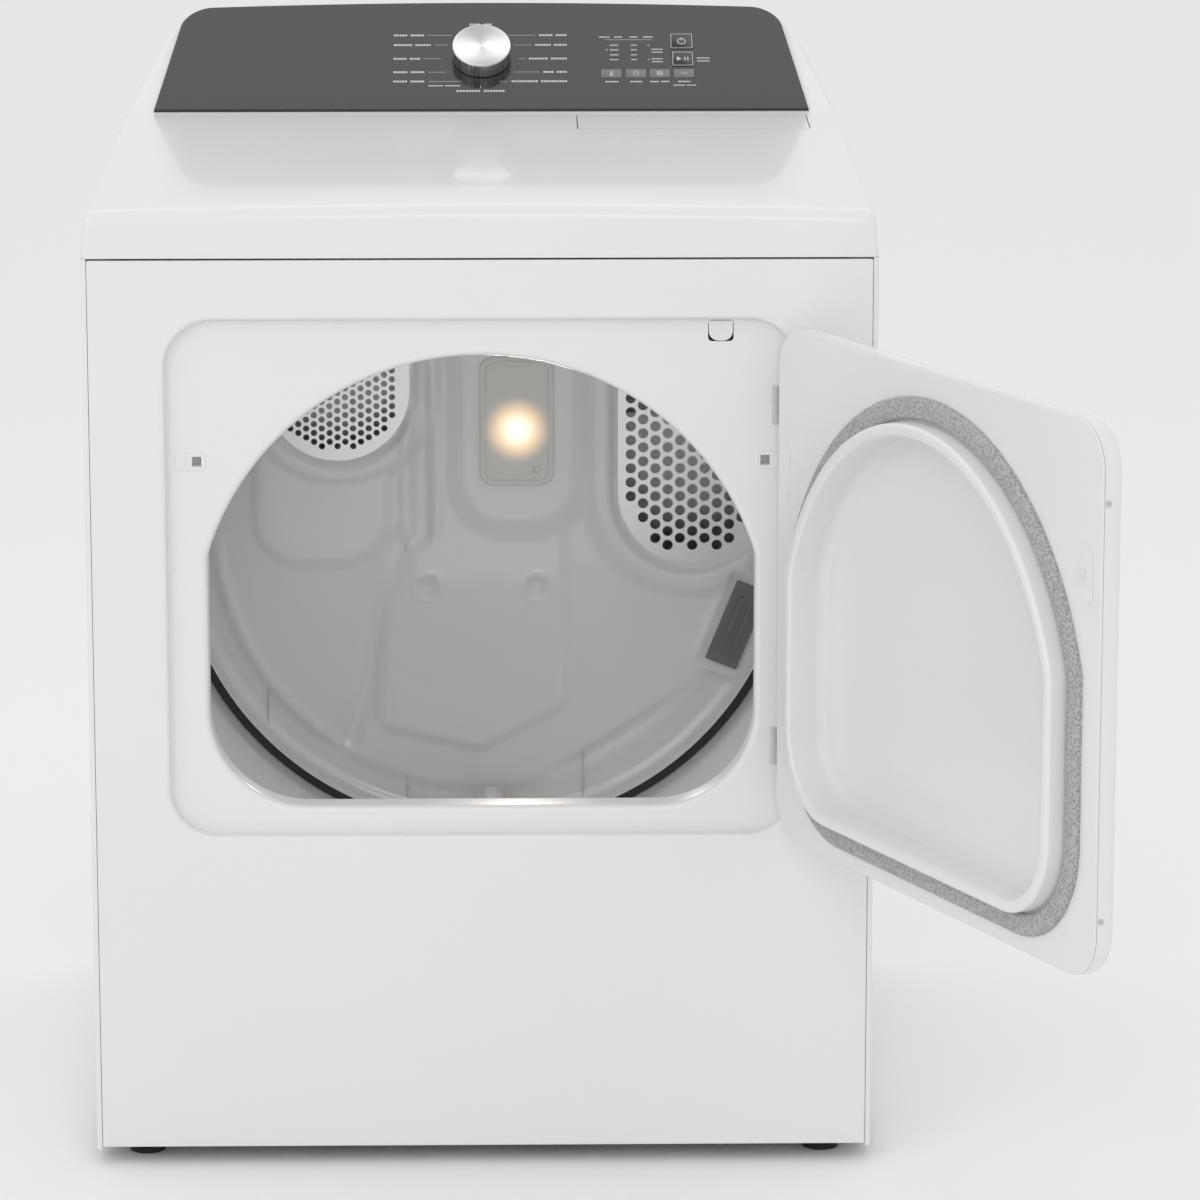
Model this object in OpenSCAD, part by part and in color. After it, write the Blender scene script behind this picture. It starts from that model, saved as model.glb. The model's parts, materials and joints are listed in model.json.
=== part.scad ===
// Front-loading clothes dryer with a sloping control console.
// X runs to the right, Y to the rear and Z up, in millimetres.
// The origin is the middle of the base pan's underside.
// Inside the modules a place is [x, depth behind the front face, z].

/* [Cabinet] */
// Width over the side panels
cab_w = 737; // [700:1:890]
// Depth from the front face to the rear flanges
cab_d = 700; // [640:1:850]
// Height of the side panels, without the feet
body_h = 856; // [845:1:1030]
// Thickness of the sheet steel
sheet = 1; // [0.8:0.1:1.2]
// Radius of the side panels' front corners
corner_r = 3.5; // [2.5:0.5:5]
// Height of the feet below the base pan
foot_h = 15; // [12:1:30]

/* [Top] */
// Height of the top's front edge above the side panels
top_front_h = 44; // [35:1:55]
// Height of the top at the console, above the side panels
top_rear_h = 62; // [58:1:75]
// How far the top's sides lean in at each end
top_lean = 6; // [2:1:10]
// Radius of the top's front edge
top_edge_r = 14; // [8:1:20]

/* [Console] */
// Slope of the console's face
con_slope = 39; // [35:1:42]
// Length of the face up the slope
con_len = 153; // [145:1:158]
// Depth kept for the console behind its lower edge
con_space = 129; // [128:1:135]
// White end left on each side at the foot of the face
con_end_low = 35; // [30:1:45]
// White end left on each side at the top of the face
con_end_high = 63.5; // [60:0.5:75]
// Thickness of the black face plate
fascia_t = 3; // [2.5:0.5:4]
// Radius of the programme knob
knob_r = 30.25; // [25:0.25:36]
// Height of the programme knob above the face
knob_h = 17; // [14:0.5:22]
// Travel of the keys
key_travel = 0.8; // [0.5:0.1:1]

/* [Drum] */
// Inner radius of the drum
drum_r = 325; // [265:1:328]
// Thickness of the drum's sheet
drum_t = 1.2; // [0.8:0.1:1.5]
// Height of the drum's axis
drum_z = 490; // [480:1:500]
// Width of the lip at the drum's front
front_lip = 33; // [28:1:40]
// Height of the lifting baffles
baffle_h = 53; // [40:1:60]
// Turn of the lowest baffle from straight down
baffle_turn = 1.4; // [0:0.1:10]

/* [Door and opening] */
// Rise of the opening's centre above the drum's axis
open_rise = 5.5; // [0:0.5:8]
// How much the round opening is cut off at each side
side_cut = 11.5; // [8:0.5:16]
// Drop from the opening's centre to its flat lower edge
open_drop = 162.5; // [150:0.5:170]
// Radius of the opening's lower corners
open_corner = 93; // [70:1:100]
// Depth of the recess that the door closes into
recess_depth = 11; // [9.5:0.5:12]
// Gap round the closed door
door_gap = 3; // [2.5:0.5:4]
// How far the closed door stands out of the front face
door_out = 17; // [16:0.5:20]
// Angle of the door as it stands open
door_open = 115; // [0:1:115]
// Radius of the hinge pins
pin_r = 1.6; // [1.4:0.05:1.65]

/* [Air path] */
// Depth kept for the air ducts behind the rear bulkhead
rear_space = 128; // [124:1:140]
// Radius of the exhaust collar
collar_r = 50.8; // [48:0.1:51]
// Length of the exhaust collar behind the cabinet
collar_len = 30; // [20:1:40]
// Length of the lint screen's blade
blade_len = 340; // [250:5:350]
// Tilt of the lint screen from upright
blade_tilt = 20; // [18:1:20]

/* [Drive] */
// Distance of the motor from the cabinet's middle
motor_x = 185; // [175:1:200]
// Height of the motor's axis
motor_z = 92; // [90:1:100]
// Radius of the motor's pulley
pulley_r = 12; // [10:0.5:15]
// Radius of the idler pulley
idler_r = 20; // [16:0.5:22]
// Radius of the drum's support rollers
roller_r = 36; // [30:0.5:38]

/* [Hidden] */
$fn = 64;

eps = 0.01;             // overlap that keeps a cut clean
apart = 0.4;            // air between pieces that move past each other
running = 0.05;         // radial clearance of a turning fit
cut = 1;                // how far a cutter runs past a face

// Cabinet
half_w = cab_w / 2;
in_w = half_w - sheet;                  // inner face of a side panel
leg_x = half_w - corner_r - 1.5 * sheet; // side panel's leg beside the front panel
front_w = leg_x - 0.3;                  // half the front panel
seam_d = 9;                             // depth of the front panel's flanges
deck_z = body_h + top_rear_h;           // top surface at the console
con_d = cab_d - con_space;              // console's lower edge
lip_h = 4;                              // black lip under the console's face
con_z = deck_z + lip_h;
front_plane_d = 40;                     // front bulkhead
rear_plane_d = cab_d - rear_space;      // front face of the rear bulkhead
rear_face_d = rear_plane_d + sheet;     // rear face of the rear bulkhead
rear_in_d = cab_d - 2 * sheet;          // inner face of the rear panel
pan_rim = 21;                           // the rear bulkhead is narrower below this height
screw_x = half_w - 12;
screw_zs = [for (i = [0:4]) 40 + i * (body_h - 80) / 4];
screw_r = 2;

// Drum and opening
drum_out = drum_r + drum_t;
lip_r = drum_r - front_lip;             // inner edge of the drum's front lip
seal_t = 6.6;
collar_t = 2;
ring_r = lip_r - apart - seal_t;        // ring that carries the front seal
open_r = ring_r - collar_t - 10 - open_rise;
open_z = drum_z + open_rise;
open_w = open_r - side_cut;             // half the opening's width
open_low = open_z - open_drop;
rear_ring_r = drum_r - 9;               // ring that carries the rear seal
lip_front_d = front_plane_d + 6;
drum_rear_d = rear_plane_d - 12;

// Recess and door, with the door closed
recess_side = 37;
recess_w = open_w + recess_side;
recess_lo = open_low - 25.5;
recess_hi = open_z + open_r + 35.5;
recess_r = 45;
door_w = recess_w - door_gap;
door_lo = recess_lo + door_gap;
door_hi = recess_hi - door_gap;
door_r = recess_r - door_gap;
door_edge_r = 12;                       // rounding of the door's upright outer edges
door_in_d = 5;                          // the door's inner plane
panel_t = 2;                            // thickness of the door's inner panel
seal_h = 5.5;
ridge_h = 20;                           // ridge round the door's bowl
ridge_out = -15;                        // ridge and bowl, as offsets of the opening
ridge_in = -27;
bowl_d = -14;                           // back of the bowl
hinge_x = door_w - 2.8;
hinge_d = -6;
barrel_r = 4.2;
barrel_len = 20;
notch_r = 6.6;
hinge_zs = [open_low + 57, recess_hi - 82.5];
catch_z = open_z + 168.5;
catch_x = -(open_w + 14.5);
mouth_x = catch_x + 6;
catch_w = 29;
catch_h = 16.4;

// Door switch lever
lever_x = open_w - 33.25;
lever_w = 22.5;
lever_hi = recess_hi - 0.6;
lever_lo = lever_hi - 21.2;
lever_pin = [recess_depth + 3, lever_hi - 4];   // depth and height of its pin

// Console keys: place on the face, then width and height
knob_y = 75;
power_key = [205.6, 96, 24.2, 22.9];
start_key = [206.5, 70.7, 23, 21.4];
pad_y = 50;
pad_size = [22.3, 12.7];
pad_xs = [132.85, 158.1, 182.4, 207.3];
keys = concat([power_key, start_key], [for (x = pad_xs) [x, pad_y, pad_size[0], pad_size[1]]]);
board_z = -20;
stem_z = -14;
shaft_r = 3;

// Lint screen and its duct
slot_x = 213;
slot_w = 234;
slot_front = con_d - 100;
slot_rear = con_d - 10;
blade_w = 210;
blade_t = 10;
blade_d = con_d - 26;
blade_z = top_at(blade_d);
duct_gap = 9;                           // half the clear depth round the blade
duct_x0 = slot_x - blade_w / 2 - 6;
duct_x1 = slot_x + blade_w / 2 + 6;
duct_low = 15;
duct_step = 205;
duct_top = blade_z - 5;
lower_duct_d = rear_face_d + 25;
blade_end_z = blade_z - blade_len * cos(blade_tilt);
notch_z = duct_cross(rear_face_d, duct_gap + sheet);

// Blower, exhaust and heater
fan_r = 84;
fan_d0 = lower_duct_d;
fan_d1 = fan_d0 + 66;
elbow_w = 56;
elbow_h = 150;
exhaust_z = 90;
outlet_z = drum_z + 35;
outlet_x = 216;
outlet_r = 71;
inlet_z = drum_z + 143;
inlet_x = -150;
inlet_r = 68.5;
grille_top = drum_z + 215;
grille_limit = rear_ring_r - 13;        // grilles stay inside this circle round the drum's axis
grille_edge = 6;
heater_x0 = inlet_x - 75;
heater_x1 = inlet_x + 70;
heater_d1 = rear_face_d + 67;
lamp = [34.7, drum_z + 110.7];
lamp_size = [76, 134];
sensor_turn = -22;
sensor_at = rear_ring_r - 33;

// Drive
shaft_motor_r = 5;
motor_r = 60;
motor_d0 = 385;
motor_d1 = 505;
belt_d = [346, 354];
belt_gap = 0.4;
belt_t = 2;
idler = [86, 85];
idler_pivot = [146, 45];
stud_r = 4;
roller_turn = 35;
roller_at = drum_out + apart + roller_r;
roller_d = [drum_rear_d - 32, drum_rear_d - 10];
roller_shaft_r = 6;

// Feet and rear fittings
foot_x = half_w - 45;
foot_in = 50;
foot_r = 5;
foot_pad_r = 17;
cord_hole = [-270, 160];
cord_hole_r = 14.3;

// ---- outlines -------------------------------------------------------

function unit(v) = v / norm(v);
function left_of(v) = [-v[1], v[0]];
function side_dir(p, i) = left_of(unit(p[i + 1] - p[i]));
function mitre(p, i) =
    let (last = len(p) - 1,
         a = side_dir(p, max(i - 1, 0)),
         b = side_dir(p, min(i, last - 1)))
    (a + b) / (1 + a * b);

// A bent strip of thickness t to the left of the path p
function ribbon(p, t) =
    concat(p, [for (i = [len(p) - 1:-1:0]) p[i] + t * mitre(p, i)]);

function arc(c, r, a0, a1, steps = 8) =
    [for (i = [0:steps]) let (a = a0 + (a1 - a0) * i / steps) c + r * [cos(a), sin(a)]];

function round_rect(x0, x1, z0, z1, r) = concat(
    arc([x1 - r, z1 - r], r, 0, 90), arc([x0 + r, z1 - r], r, 90, 180),
    arc([x0 + r, z0 + r], r, 180, 270), arc([x1 - r, z0 + r], r, 270, 360));

// The door opening, grown by g: round above, cut straight at the sides, flat below
function opening(g = 0) =
    let (r = open_r + g, w = open_w + g, c = open_corner + g,
         a = acos(w / r), z = open_low + open_corner)
    concat(arc([0, open_z], r, a, 180 - a, 40),
           arc([c - w, z], c, 180, 270, 12), arc([w - c, z], c, 270, 360, 12));

// A grille's outline: a half circle below straight sides
function grille_outline(x, z, r) =
    concat(arc([x, z], r, 180, 360, 24), [[x + r, grille_top], [x - r, grille_top]]);

// Whether a hole of radius h at p keeps clear of the grille's rim
function in_grille(p, x, z, r, h) =
    (p[1] > z ? abs(p[0] - x) : norm(p - [x, z])) < r - h - 1
    && p[1] < grille_top - h - 1
    && norm(p - [0, drum_z]) < grille_limit - h - 1;

function top_at(d) =
    body_h + top_front_h + (d - top_edge_r) * (top_rear_h - top_front_h) / (con_d - top_edge_r);

// Side view of the top, inset by t
function top_side(t) = concat(
    [[t, body_h - (t > 0 ? cut : 0)]],
    arc([top_edge_r, top_at(top_edge_r) - top_edge_r], top_edge_r - t, 180, 92),
    [[con_d, deck_z - t], [cab_d - t, deck_z - t], [cab_d - t, body_h - (t > 0 ? cut : 0)]]);

function top_front(t) =
    let (low = half_w - t, high = half_w - top_lean - t, z = deck_z + cut)
    [[-low, body_h - cut], [low, body_h - cut], [high, z], [-high, z]];

// A point of the console's face, y up the slope and n out of it, as depth and height
function on_face(y, n) =
    [con_d + y * cos(con_slope) - n * sin(con_slope),
     con_z + y * sin(con_slope) + n * cos(con_slope)];

function foot_of_face(t) =
    let (p = on_face(0, -fascia_t - t))
    [p[0] - (p[1] - deck_z + cut * (t > 0 ? 1 : 0)) / tan(con_slope),
     deck_z - cut * (t > 0 ? 1 : 0)];

// Side view of the console, inset by t
function con_side(t) =
    let (foot = foot_of_face(t), brow = on_face(con_len - t, -fascia_t - t))
    [foot, brow, [cab_d - t - 4, brow[1]], [cab_d - t, brow[1] - 4], [cab_d - t, foot[1]]];

function con_front(t) =
    let (z = on_face(con_len, -fascia_t)[1] - t, r = 27,
         low = half_w - top_lean - t, high = half_w - con_end_high + 7 - t)
    concat([[-low, deck_z - cut], [low, deck_z - cut]],
           arc([high - r, z - r], r, 20, 90), arc([r - high, z - r], r, 90, 160));

// Height at which a line g in front of the blade's middle crosses the depth d
function duct_cross(d, g) =
    blade_z - (d + g / cos(blade_tilt) - blade_d) / tan(blade_tilt);
function blade_line(z, g) =
    blade_d + (blade_z - z) * tan(blade_tilt) + g / cos(blade_tilt);

// Side view of the lint duct, inset by t
function duct_side(t) =
    let (g = duct_gap + sheet - t, front = rear_face_d - (t > 0 ? cut : 0),
         top = duct_top + (t > 0 ? cut : 0), deep_z = blade_end_z - 8)
    [[front, duct_low + t], [lower_duct_d - t, duct_low + t], [lower_duct_d - t, duct_step + t],
     [blade_line(deep_z, g), duct_step + t], [blade_line(deep_z, g), deep_z],
     [blade_line(top, g), top], [blade_line(top, -g), top], [front, duct_cross(front, g)]];

// A belt round circles [x, z, r] taken counter-clockwise, t outside them
function belt_turn(a, b) =
    let (v = [b[0] - a[0], b[1] - a[1]])
    atan2(v[1], v[0]) - acos((a[2] - b[2]) / norm(v));
function belt_outline(c, t) =
    let (n = len(c))
    [for (i = [0:n - 1])
        let (from = belt_turn(c[(i + n - 1) % n], c[i]), to = belt_turn(c[i], c[(i + 1) % n]),
             sweep = (to - from + 720) % 360, steps = max(6, ceil(sweep / 3)))
        for (p = arc([c[i][0], c[i][1]], (c[i][2] + t) / cos(sweep / steps / 2),
                     from, from + sweep, steps)) p];

// ---- placing --------------------------------------------------------

// Everything below is drawn from the cabinet's front face
module from_front() {
    translate([0, -cab_d / 2, 0]) children();
}

// Extrudes an outline in X and Z from depth d0 to d1
module along_depth(d0, d1) {
    translate([0, d1, 0]) rotate([90, 0, 0]) linear_extrude(height = d1 - d0) children();
}

// Extrudes an outline in depth and Z from x0 to x1
module along_x(x0, x1) {
    translate([x0, 0, 0]) rotate([90, 0, 90]) linear_extrude(height = x1 - x0) children();
}

module rod(x, z, r, d0, d1) {
    translate([x, d0, z]) rotate([-90, 0, 0]) cylinder(r = r, h = d1 - d0);
}

module tube(x, z, r_out, r_in, d0, d1) {
    difference() {
        rod(x, z, r_out, d0, d1);
        rod(x, z, r_in, d0 - cut, d1 + cut);
    }
}

module box(x0, x1, d0, d1, z0, z1) {
    translate([x0, d0, z0]) cube([x1 - x0, d1 - d0, z1 - z0]);
}

// Places children on the console's face: x along it, y up it, z out of it
module on_console() {
    from_front() translate([0, con_d, con_z]) rotate([con_slope, 0, 0]) children();
}

// Turns the door from closed to where it stands
module on_door() {
    from_front()
        translate([hinge_x, hinge_d, 0]) rotate([0, 0, door_open])
            translate([-hinge_x, -hinge_d, 0]) children();
}

module rear_screw_holes() {
    for (s = [-1, 1], z = screw_zs) rod(s * screw_x, z, screw_r + 0.2, cab_d - 10, cab_d + cut);
}

// ---- cabinet --------------------------------------------------------

module side_panel(side) {
    plan = concat(
        [[half_w - 26, seam_d], [leg_x, seam_d], [leg_x, 0]],
        arc([half_w - corner_r, corner_r], corner_r, 270, 360, 6),
        [[half_w, cab_d], [half_w - 22, cab_d]]);
    color("whitesmoke") from_front() difference() {
        linear_extrude(height = body_h) polygon([for (p = ribbon(plan, sheet)) [side * p[0], p[1]]]);
        rear_screw_holes();
    }
}

module left_side_panel() { side_panel(-1); }
module right_side_panel() { side_panel(1); }

module rear_panel() {
    doubler = 26;
    color("silver") from_front() difference() {
        union() {
            box(-in_w, in_w, rear_in_d, rear_in_d + sheet, 1.5, body_h);
            rod(cord_hole[0], cord_hole[1], doubler, rear_in_d - 3, rear_in_d + sheet);
        }
        rod(0, exhaust_z, collar_r + 1.2, rear_in_d - cut, cab_d);
        rod(cord_hole[0], cord_hole[1], cord_hole_r, rear_in_d - 4, cab_d);
        rear_screw_holes();
    }
}

module foot_spots() {
    for (x = [-foot_x, foot_x], d = [foot_in, cab_d - foot_in]) translate([x, d, 0]) children();
}

module base_pan() {
    pan_t = 1.2;
    flange = pan_rim - 1;
    w = in_w - 0.1;
    d0 = seam_d + sheet + 0.2;
    d1 = rear_in_d - 0.1;
    bracket = 378;
    color("silver") from_front() difference() {
        union() {
            box(-w, w, d0, d1, 0, pan_t);
            box(-w, w, d0, d0 + pan_t, 0, flange);
            box(-w, w, d1 - pan_t, d1, 0, flange * 0.35);
            for (s = [-1, 1]) box(s * w - (s + 1) / 2 * pan_t, s * w - (s - 1) / 2 * pan_t, d0, d1, 0, flange);
            foot_spots() cylinder(r = 10, h = 18);
            box(idler_pivot[0] - 12, idler_pivot[0] + 12, bracket - 6, bracket, 0, idler_pivot[1] + 12);
        }
        foot_spots() translate([0, 0, -cut]) cylinder(r = foot_r + running, h = 30);
        rod(idler_pivot[0], idler_pivot[1], stud_r + running, bracket - 10, bracket + cut);
    }
}

module front_panel() {
    lo = 2;
    hi = body_h - 1.5;
    floor_d = recess_depth;
    ear = 2.5;
    color("white") from_front() difference() {
        union() {
            along_depth(0, sheet) difference() {
                polygon(round_rect(-front_w, front_w, lo, hi, 2));
                polygon(round_rect(-recess_w, recess_w, recess_lo, recess_hi, recess_r));
            }
            for (s = [-1, 1])
                box(s * front_w - (s + 1) / 2 * sheet, s * front_w - (s - 1) / 2 * sheet, 0, seam_d, lo + 2, hi - 2);
            for (z = [lo, hi - sheet]) box(2 - front_w, front_w - 2, 0, seam_d, z, z + sheet);
            along_depth(0, floor_d + sheet) difference() {
                polygon(round_rect(-recess_w - sheet, recess_w + sheet, recess_lo - sheet, recess_hi + sheet,
                    recess_r + sheet));
                polygon(round_rect(-recess_w, recess_w, recess_lo, recess_hi, recess_r));
            }
            along_depth(floor_d, floor_d + sheet) difference() {
                polygon(round_rect(-recess_w, recess_w, recess_lo, recess_hi, recess_r));
                polygon(opening());
            }
            along_depth(floor_d, front_plane_d) difference() {
                polygon(opening(sheet));
                polygon(opening());
            }
            for (s = [-1, 1])
                box(lever_x + s * (lever_w / 2 + 1) + (s - 1) / 2 * ear,
                    lever_x + s * (lever_w / 2 + 1) + (s + 1) / 2 * ear,
                    floor_d + sheet, lever_pin[0] + 4, lever_hi - 9, lever_hi);
        }
        for (s = [-1, 1])
            box(s * catch_x - (catch_w - 1) / 2, s * catch_x + (catch_w - 1) / 2,
                floor_d - cut, floor_d + 2, catch_z - (catch_h - 1) / 2, catch_z + (catch_h - 1) / 2);
        box(lever_x - lever_w / 2 - 0.5, lever_x + lever_w / 2 + 0.5,
            floor_d - cut, floor_d + sheet + eps, lever_lo - 0.6, lever_hi);
        translate([lever_x, lever_pin[0], lever_pin[1]]) rotate([0, 90, 0])
            cylinder(r = 1.5 + running, h = lever_w + 20, center = true);
    }
}

module top_panel() {
    color("white") from_front() difference() {
        intersection() {
            along_x(-half_w, half_w) polygon(top_side(0));
            along_depth(0, cab_d) polygon(top_front(0));
        }
        intersection() {
            along_x(-half_w, half_w) polygon(top_side(sheet));
            along_depth(-cut, cab_d + cut) polygon(top_front(sheet));
        }
        box(slot_x - slot_w / 2, slot_x + slot_w / 2, slot_front, slot_rear, body_h, deck_z + cut);
    }
}

module cabinet_screws() {
    color("gray") from_front() for (s = [-1, 1], z = screw_zs) {
        rod(s * screw_x, z, screw_r, cab_d - 8, cab_d + eps);
        rod(s * screw_x, z, 4.5, cab_d, cab_d + 2);
    }
}

module foot(side, d) {
    color("dimgray") from_front() translate([side * foot_x, d, 0]) {
        translate([0, 0, -foot_h]) cylinder(r = foot_pad_r, h = 5);
        translate([0, 0, -foot_h]) cylinder(r = foot_r, h = foot_h + 28);
        translate([0, 0, 5 - foot_h]) cylinder(r = 9, h = 4, $fn = 6);
    }
}

module foot_front_left() { foot(-1, foot_in); }
module foot_front_right() { foot(1, foot_in); }
module foot_rear_left() { foot(-1, cab_d - foot_in); }
module foot_rear_right() { foot(1, cab_d - foot_in); }

// ---- console --------------------------------------------------------

module console_shell() {
    wall = 2.5;
    window_w = half_w - con_end_high - 25;
    color("white") {
        difference() {
            from_front() difference() {
                intersection() {
                    along_x(-half_w, half_w) polygon(con_side(0));
                    along_depth(con_d - 20, cab_d) polygon(con_front(0));
                }
                intersection() {
                    along_x(-half_w, half_w) polygon(con_side(wall));
                    along_depth(con_d - 20, cab_d) polygon(con_front(wall));
                }
            }
            on_console() translate([-window_w, 14, -fascia_t - 6])
                cube([2 * window_w, con_len - 30, 6 + cut]);
        }
    }
}

module console_fascia() {
    low = half_w - con_end_low;
    high = half_w - con_end_high;
    r = 27;
    post_r = 3;
    color([0.06, 0.06, 0.07]) on_console() difference() {
        union() {
            translate([0, 0, -fascia_t]) linear_extrude(height = fascia_t) polygon(concat(
                [[-low, 0], [low, 0]], arc([high - r, con_len - r], r, 10, 90),
                arc([r - high, con_len - r], r, 90, 170)));
            for (x = [-30, 232], y = [34, 116])
                translate([x, y, board_z]) cylinder(r = post_r, h = -board_z - fascia_t);
        }
        translate([0, knob_y, -fascia_t - cut]) cylinder(r = shaft_r + 2, h = fascia_t + 2 * cut);
        for (k = keys)
            translate([k[0] - k[2] / 2, k[1] - k[3] / 2, -fascia_t - cut]) cube([k[2], k[3], fascia_t + 2 * cut]);
    }
}

module control_board() {
    board_t = 1.6;
    switch = 6;
    encoder = 16;
    color("darkgreen") on_console() difference() {
        union() {
            translate([-42, 26, board_z - board_t]) cube([284, 98, board_t]);
            for (k = keys)
                translate([k[0] - switch / 2, k[1] - switch / 2, board_z])
                    cube([switch, switch, stem_z - key_travel - apart - board_z]);
            translate([-encoder / 2, knob_y - encoder / 2, board_z]) cube([encoder, encoder, 11]);
        }
        translate([0, knob_y, board_z - board_t - cut]) cylinder(r = shaft_r + running, h = 20);
    }
}

module programme_knob() {
    lift = 1;
    color("silver") on_console() translate([0, knob_y, 0]) {
        translate([0, 0, lift]) cylinder(r = knob_r, h = knob_h - lift);
        translate([0, 0, board_z + 1]) cylinder(r = shaft_r, h = lift - board_z);
    }
}

module key_cap(k, colour) {
    proud = 0.8;
    flange = 0.8;
    flange_t = 2;
    under = -fascia_t - apart;
    w = k[2] - 2 * apart;
    h = k[3] - 2 * apart;
    color(colour) on_console() translate([k[0], k[1], 0]) {
        translate([-w / 2, -h / 2, under - eps]) cube([w, h, proud - under + eps]);
        translate([-k[2] / 2 - flange, -k[3] / 2 - flange, under - flange_t])
            cube([k[2] + 2 * flange, k[3] + 2 * flange, flange_t]);
        translate([0, 0, stem_z]) cylinder(r = 2, h = under - stem_z);
    }
}

module power_button() { key_cap(keys[0], [0.08, 0.08, 0.09]); }
module start_button() { key_cap(keys[1], [0.08, 0.08, 0.09]); }
module temperature_button() { key_cap(keys[2], [0.45, 0.45, 0.46]); }
module time_button() { key_cap(keys[3], [0.45, 0.45, 0.46]); }
module options_button() { key_cap(keys[4], [0.45, 0.45, 0.46]); }
module more_button() { key_cap(keys[5], [0.45, 0.45, 0.46]); }

// ---- door -----------------------------------------------------------

// Plan of the door's outer panel, inset by t
function door_plan(t) =
    let (w = door_w - t, r = door_edge_r, in_d = door_in_d - panel_t + (t > 0 ? cut : 0))
    concat([[w, in_d], [-w, in_d]],
           arc([r - door_w, r - door_out], r - t, 180, 270, 6),
           arc([door_w - r, r - door_out], r - t, 270, 360, 6));

module hinge_notches() {
    for (z = hinge_zs)
        translate([hinge_x, hinge_d, z - barrel_len / 2 - 1.2]) cylinder(r = notch_r, h = barrel_len + 2.4);
}

module door_screw_spots() {
    for (z = [door_lo + 55.5, door_hi - 67.5])
        translate([-door_w, -1, z]) rotate([0, 90, 0]) children();
}

module door_outer_panel() {
    color("white") on_door() difference() {
        intersection() {
            translate([0, 0, door_lo]) linear_extrude(height = door_hi - door_lo) polygon(door_plan(0));
            along_depth(-door_out - cut, door_in_d)
                polygon(round_rect(-door_w, door_w, door_lo, door_hi, door_r));
        }
        intersection() {
            translate([0, 0, door_lo]) linear_extrude(height = door_hi - door_lo) polygon(door_plan(sheet));
            along_depth(-door_out - cut, door_in_d)
                polygon(round_rect(sheet - door_w, door_w - sheet, door_lo + sheet, door_hi - sheet, door_r - sheet));
        }
        hinge_notches();
        door_screw_spots() translate([0, 0, -cut]) cylinder(r = 1.6, h = 4);
    }
}

module door_inner_panel() {
    back = door_in_d - panel_t;
    color("white") on_door() difference() {
        union() {
            along_depth(back, door_in_d) polygon(round_rect(-door_w, door_w, door_lo, door_hi, door_r));
            along_depth(back, door_in_d + ridge_h) polygon(opening(ridge_out));
            along_depth(bowl_d, back + eps) polygon(opening(ridge_in + panel_t));
        }
        along_depth(bowl_d + panel_t, door_in_d + ridge_h + cut) polygon(opening(ridge_in));
    }
}

module door_seal() {
    color("gray") on_door() along_depth(door_in_d, door_in_d + seal_h) difference() {
        polygon(opening(9));
        polygon(opening(ridge_out + 1));
    }
}

module door_strike() {
    plate_t = 1.2;
    prong = [3, 10, 6];
    color("white") on_door() {
        along_depth(door_in_d, door_in_d + plate_t) {
            polygon(round_rect(mouth_x - 13, mouth_x + 8, catch_z - 25, catch_z + 25, 8));
            polygon(round_rect(door_w - 25, door_w - 5, catch_z - 28, catch_z + 22, 8));
        }
        translate([mouth_x - prong[0] / 2, door_in_d, catch_z - prong[2] / 2]) cube(prong);
    }
}

module door_hinge_pins() {
    gap = barrel_len / 2 + 1.4;
    block = 10;
    color("silver") on_door() for (z = hinge_zs) {
        translate([hinge_x, hinge_d, z - gap - block - 2]) cylinder(r = pin_r, h = 2 * (gap + block + 2));
        for (s = [-1, 1])
            translate([hinge_x - 16, hinge_d - 2.5, z + s * gap + (s - 1) / 2 * block]) cube([16.8, 6.5, block]);
    }
}

module door_screws() {
    color("silver") on_door() door_screw_spots() {
        translate([0, 0, -0.8]) cylinder(r = 2.6, h = 0.8);
        translate([0, 0, -0.4]) cylinder(r = 1.5, h = 7);
    }
}

module hinge_brackets() {
    arm_t = 1.6;
    arm_x = recess_w - 0.8 - arm_t;
    color("silver") from_front() for (z = hinge_zs) difference() {
        union() {
            translate([hinge_x, hinge_d, z - barrel_len / 2]) cylinder(r = barrel_r, h = barrel_len);
            box(arm_x, arm_x + arm_t, hinge_d, recess_depth, z - 8, z + 8);
            box(arm_x - 20, arm_x + arm_t, recess_depth - 1.2, recess_depth, z - 18, z + 18);
        }
        translate([hinge_x, hinge_d, z - barrel_len]) cylinder(r = pin_r + running, h = 2 * barrel_len);
    }
}

module door_catch() {
    depth = 18;
    proud = 1;
    mouth = [9.3, 10];
    color("white") from_front() for (s = [-1, 1]) difference() {
        union() {
            along_depth(recess_depth - proud, recess_depth)
                polygon(round_rect(-s * catch_x - catch_w / 2, -s * catch_x + catch_w / 2,
                    catch_z - catch_h / 2, catch_z + catch_h / 2, 3));
            box(-s * catch_x - catch_w / 2 + 1, -s * catch_x + catch_w / 2 - 1, recess_depth, recess_depth + depth,
                catch_z - catch_h / 2 + 1, catch_z + catch_h / 2 - 1);
        }
        box(-s * mouth_x - mouth[0] / 2, -s * mouth_x + mouth[0] / 2, recess_depth - proud - cut,
            recess_depth + depth - 3, catch_z - mouth[1] / 2, catch_z + mouth[1] / 2);
    }
}

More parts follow.
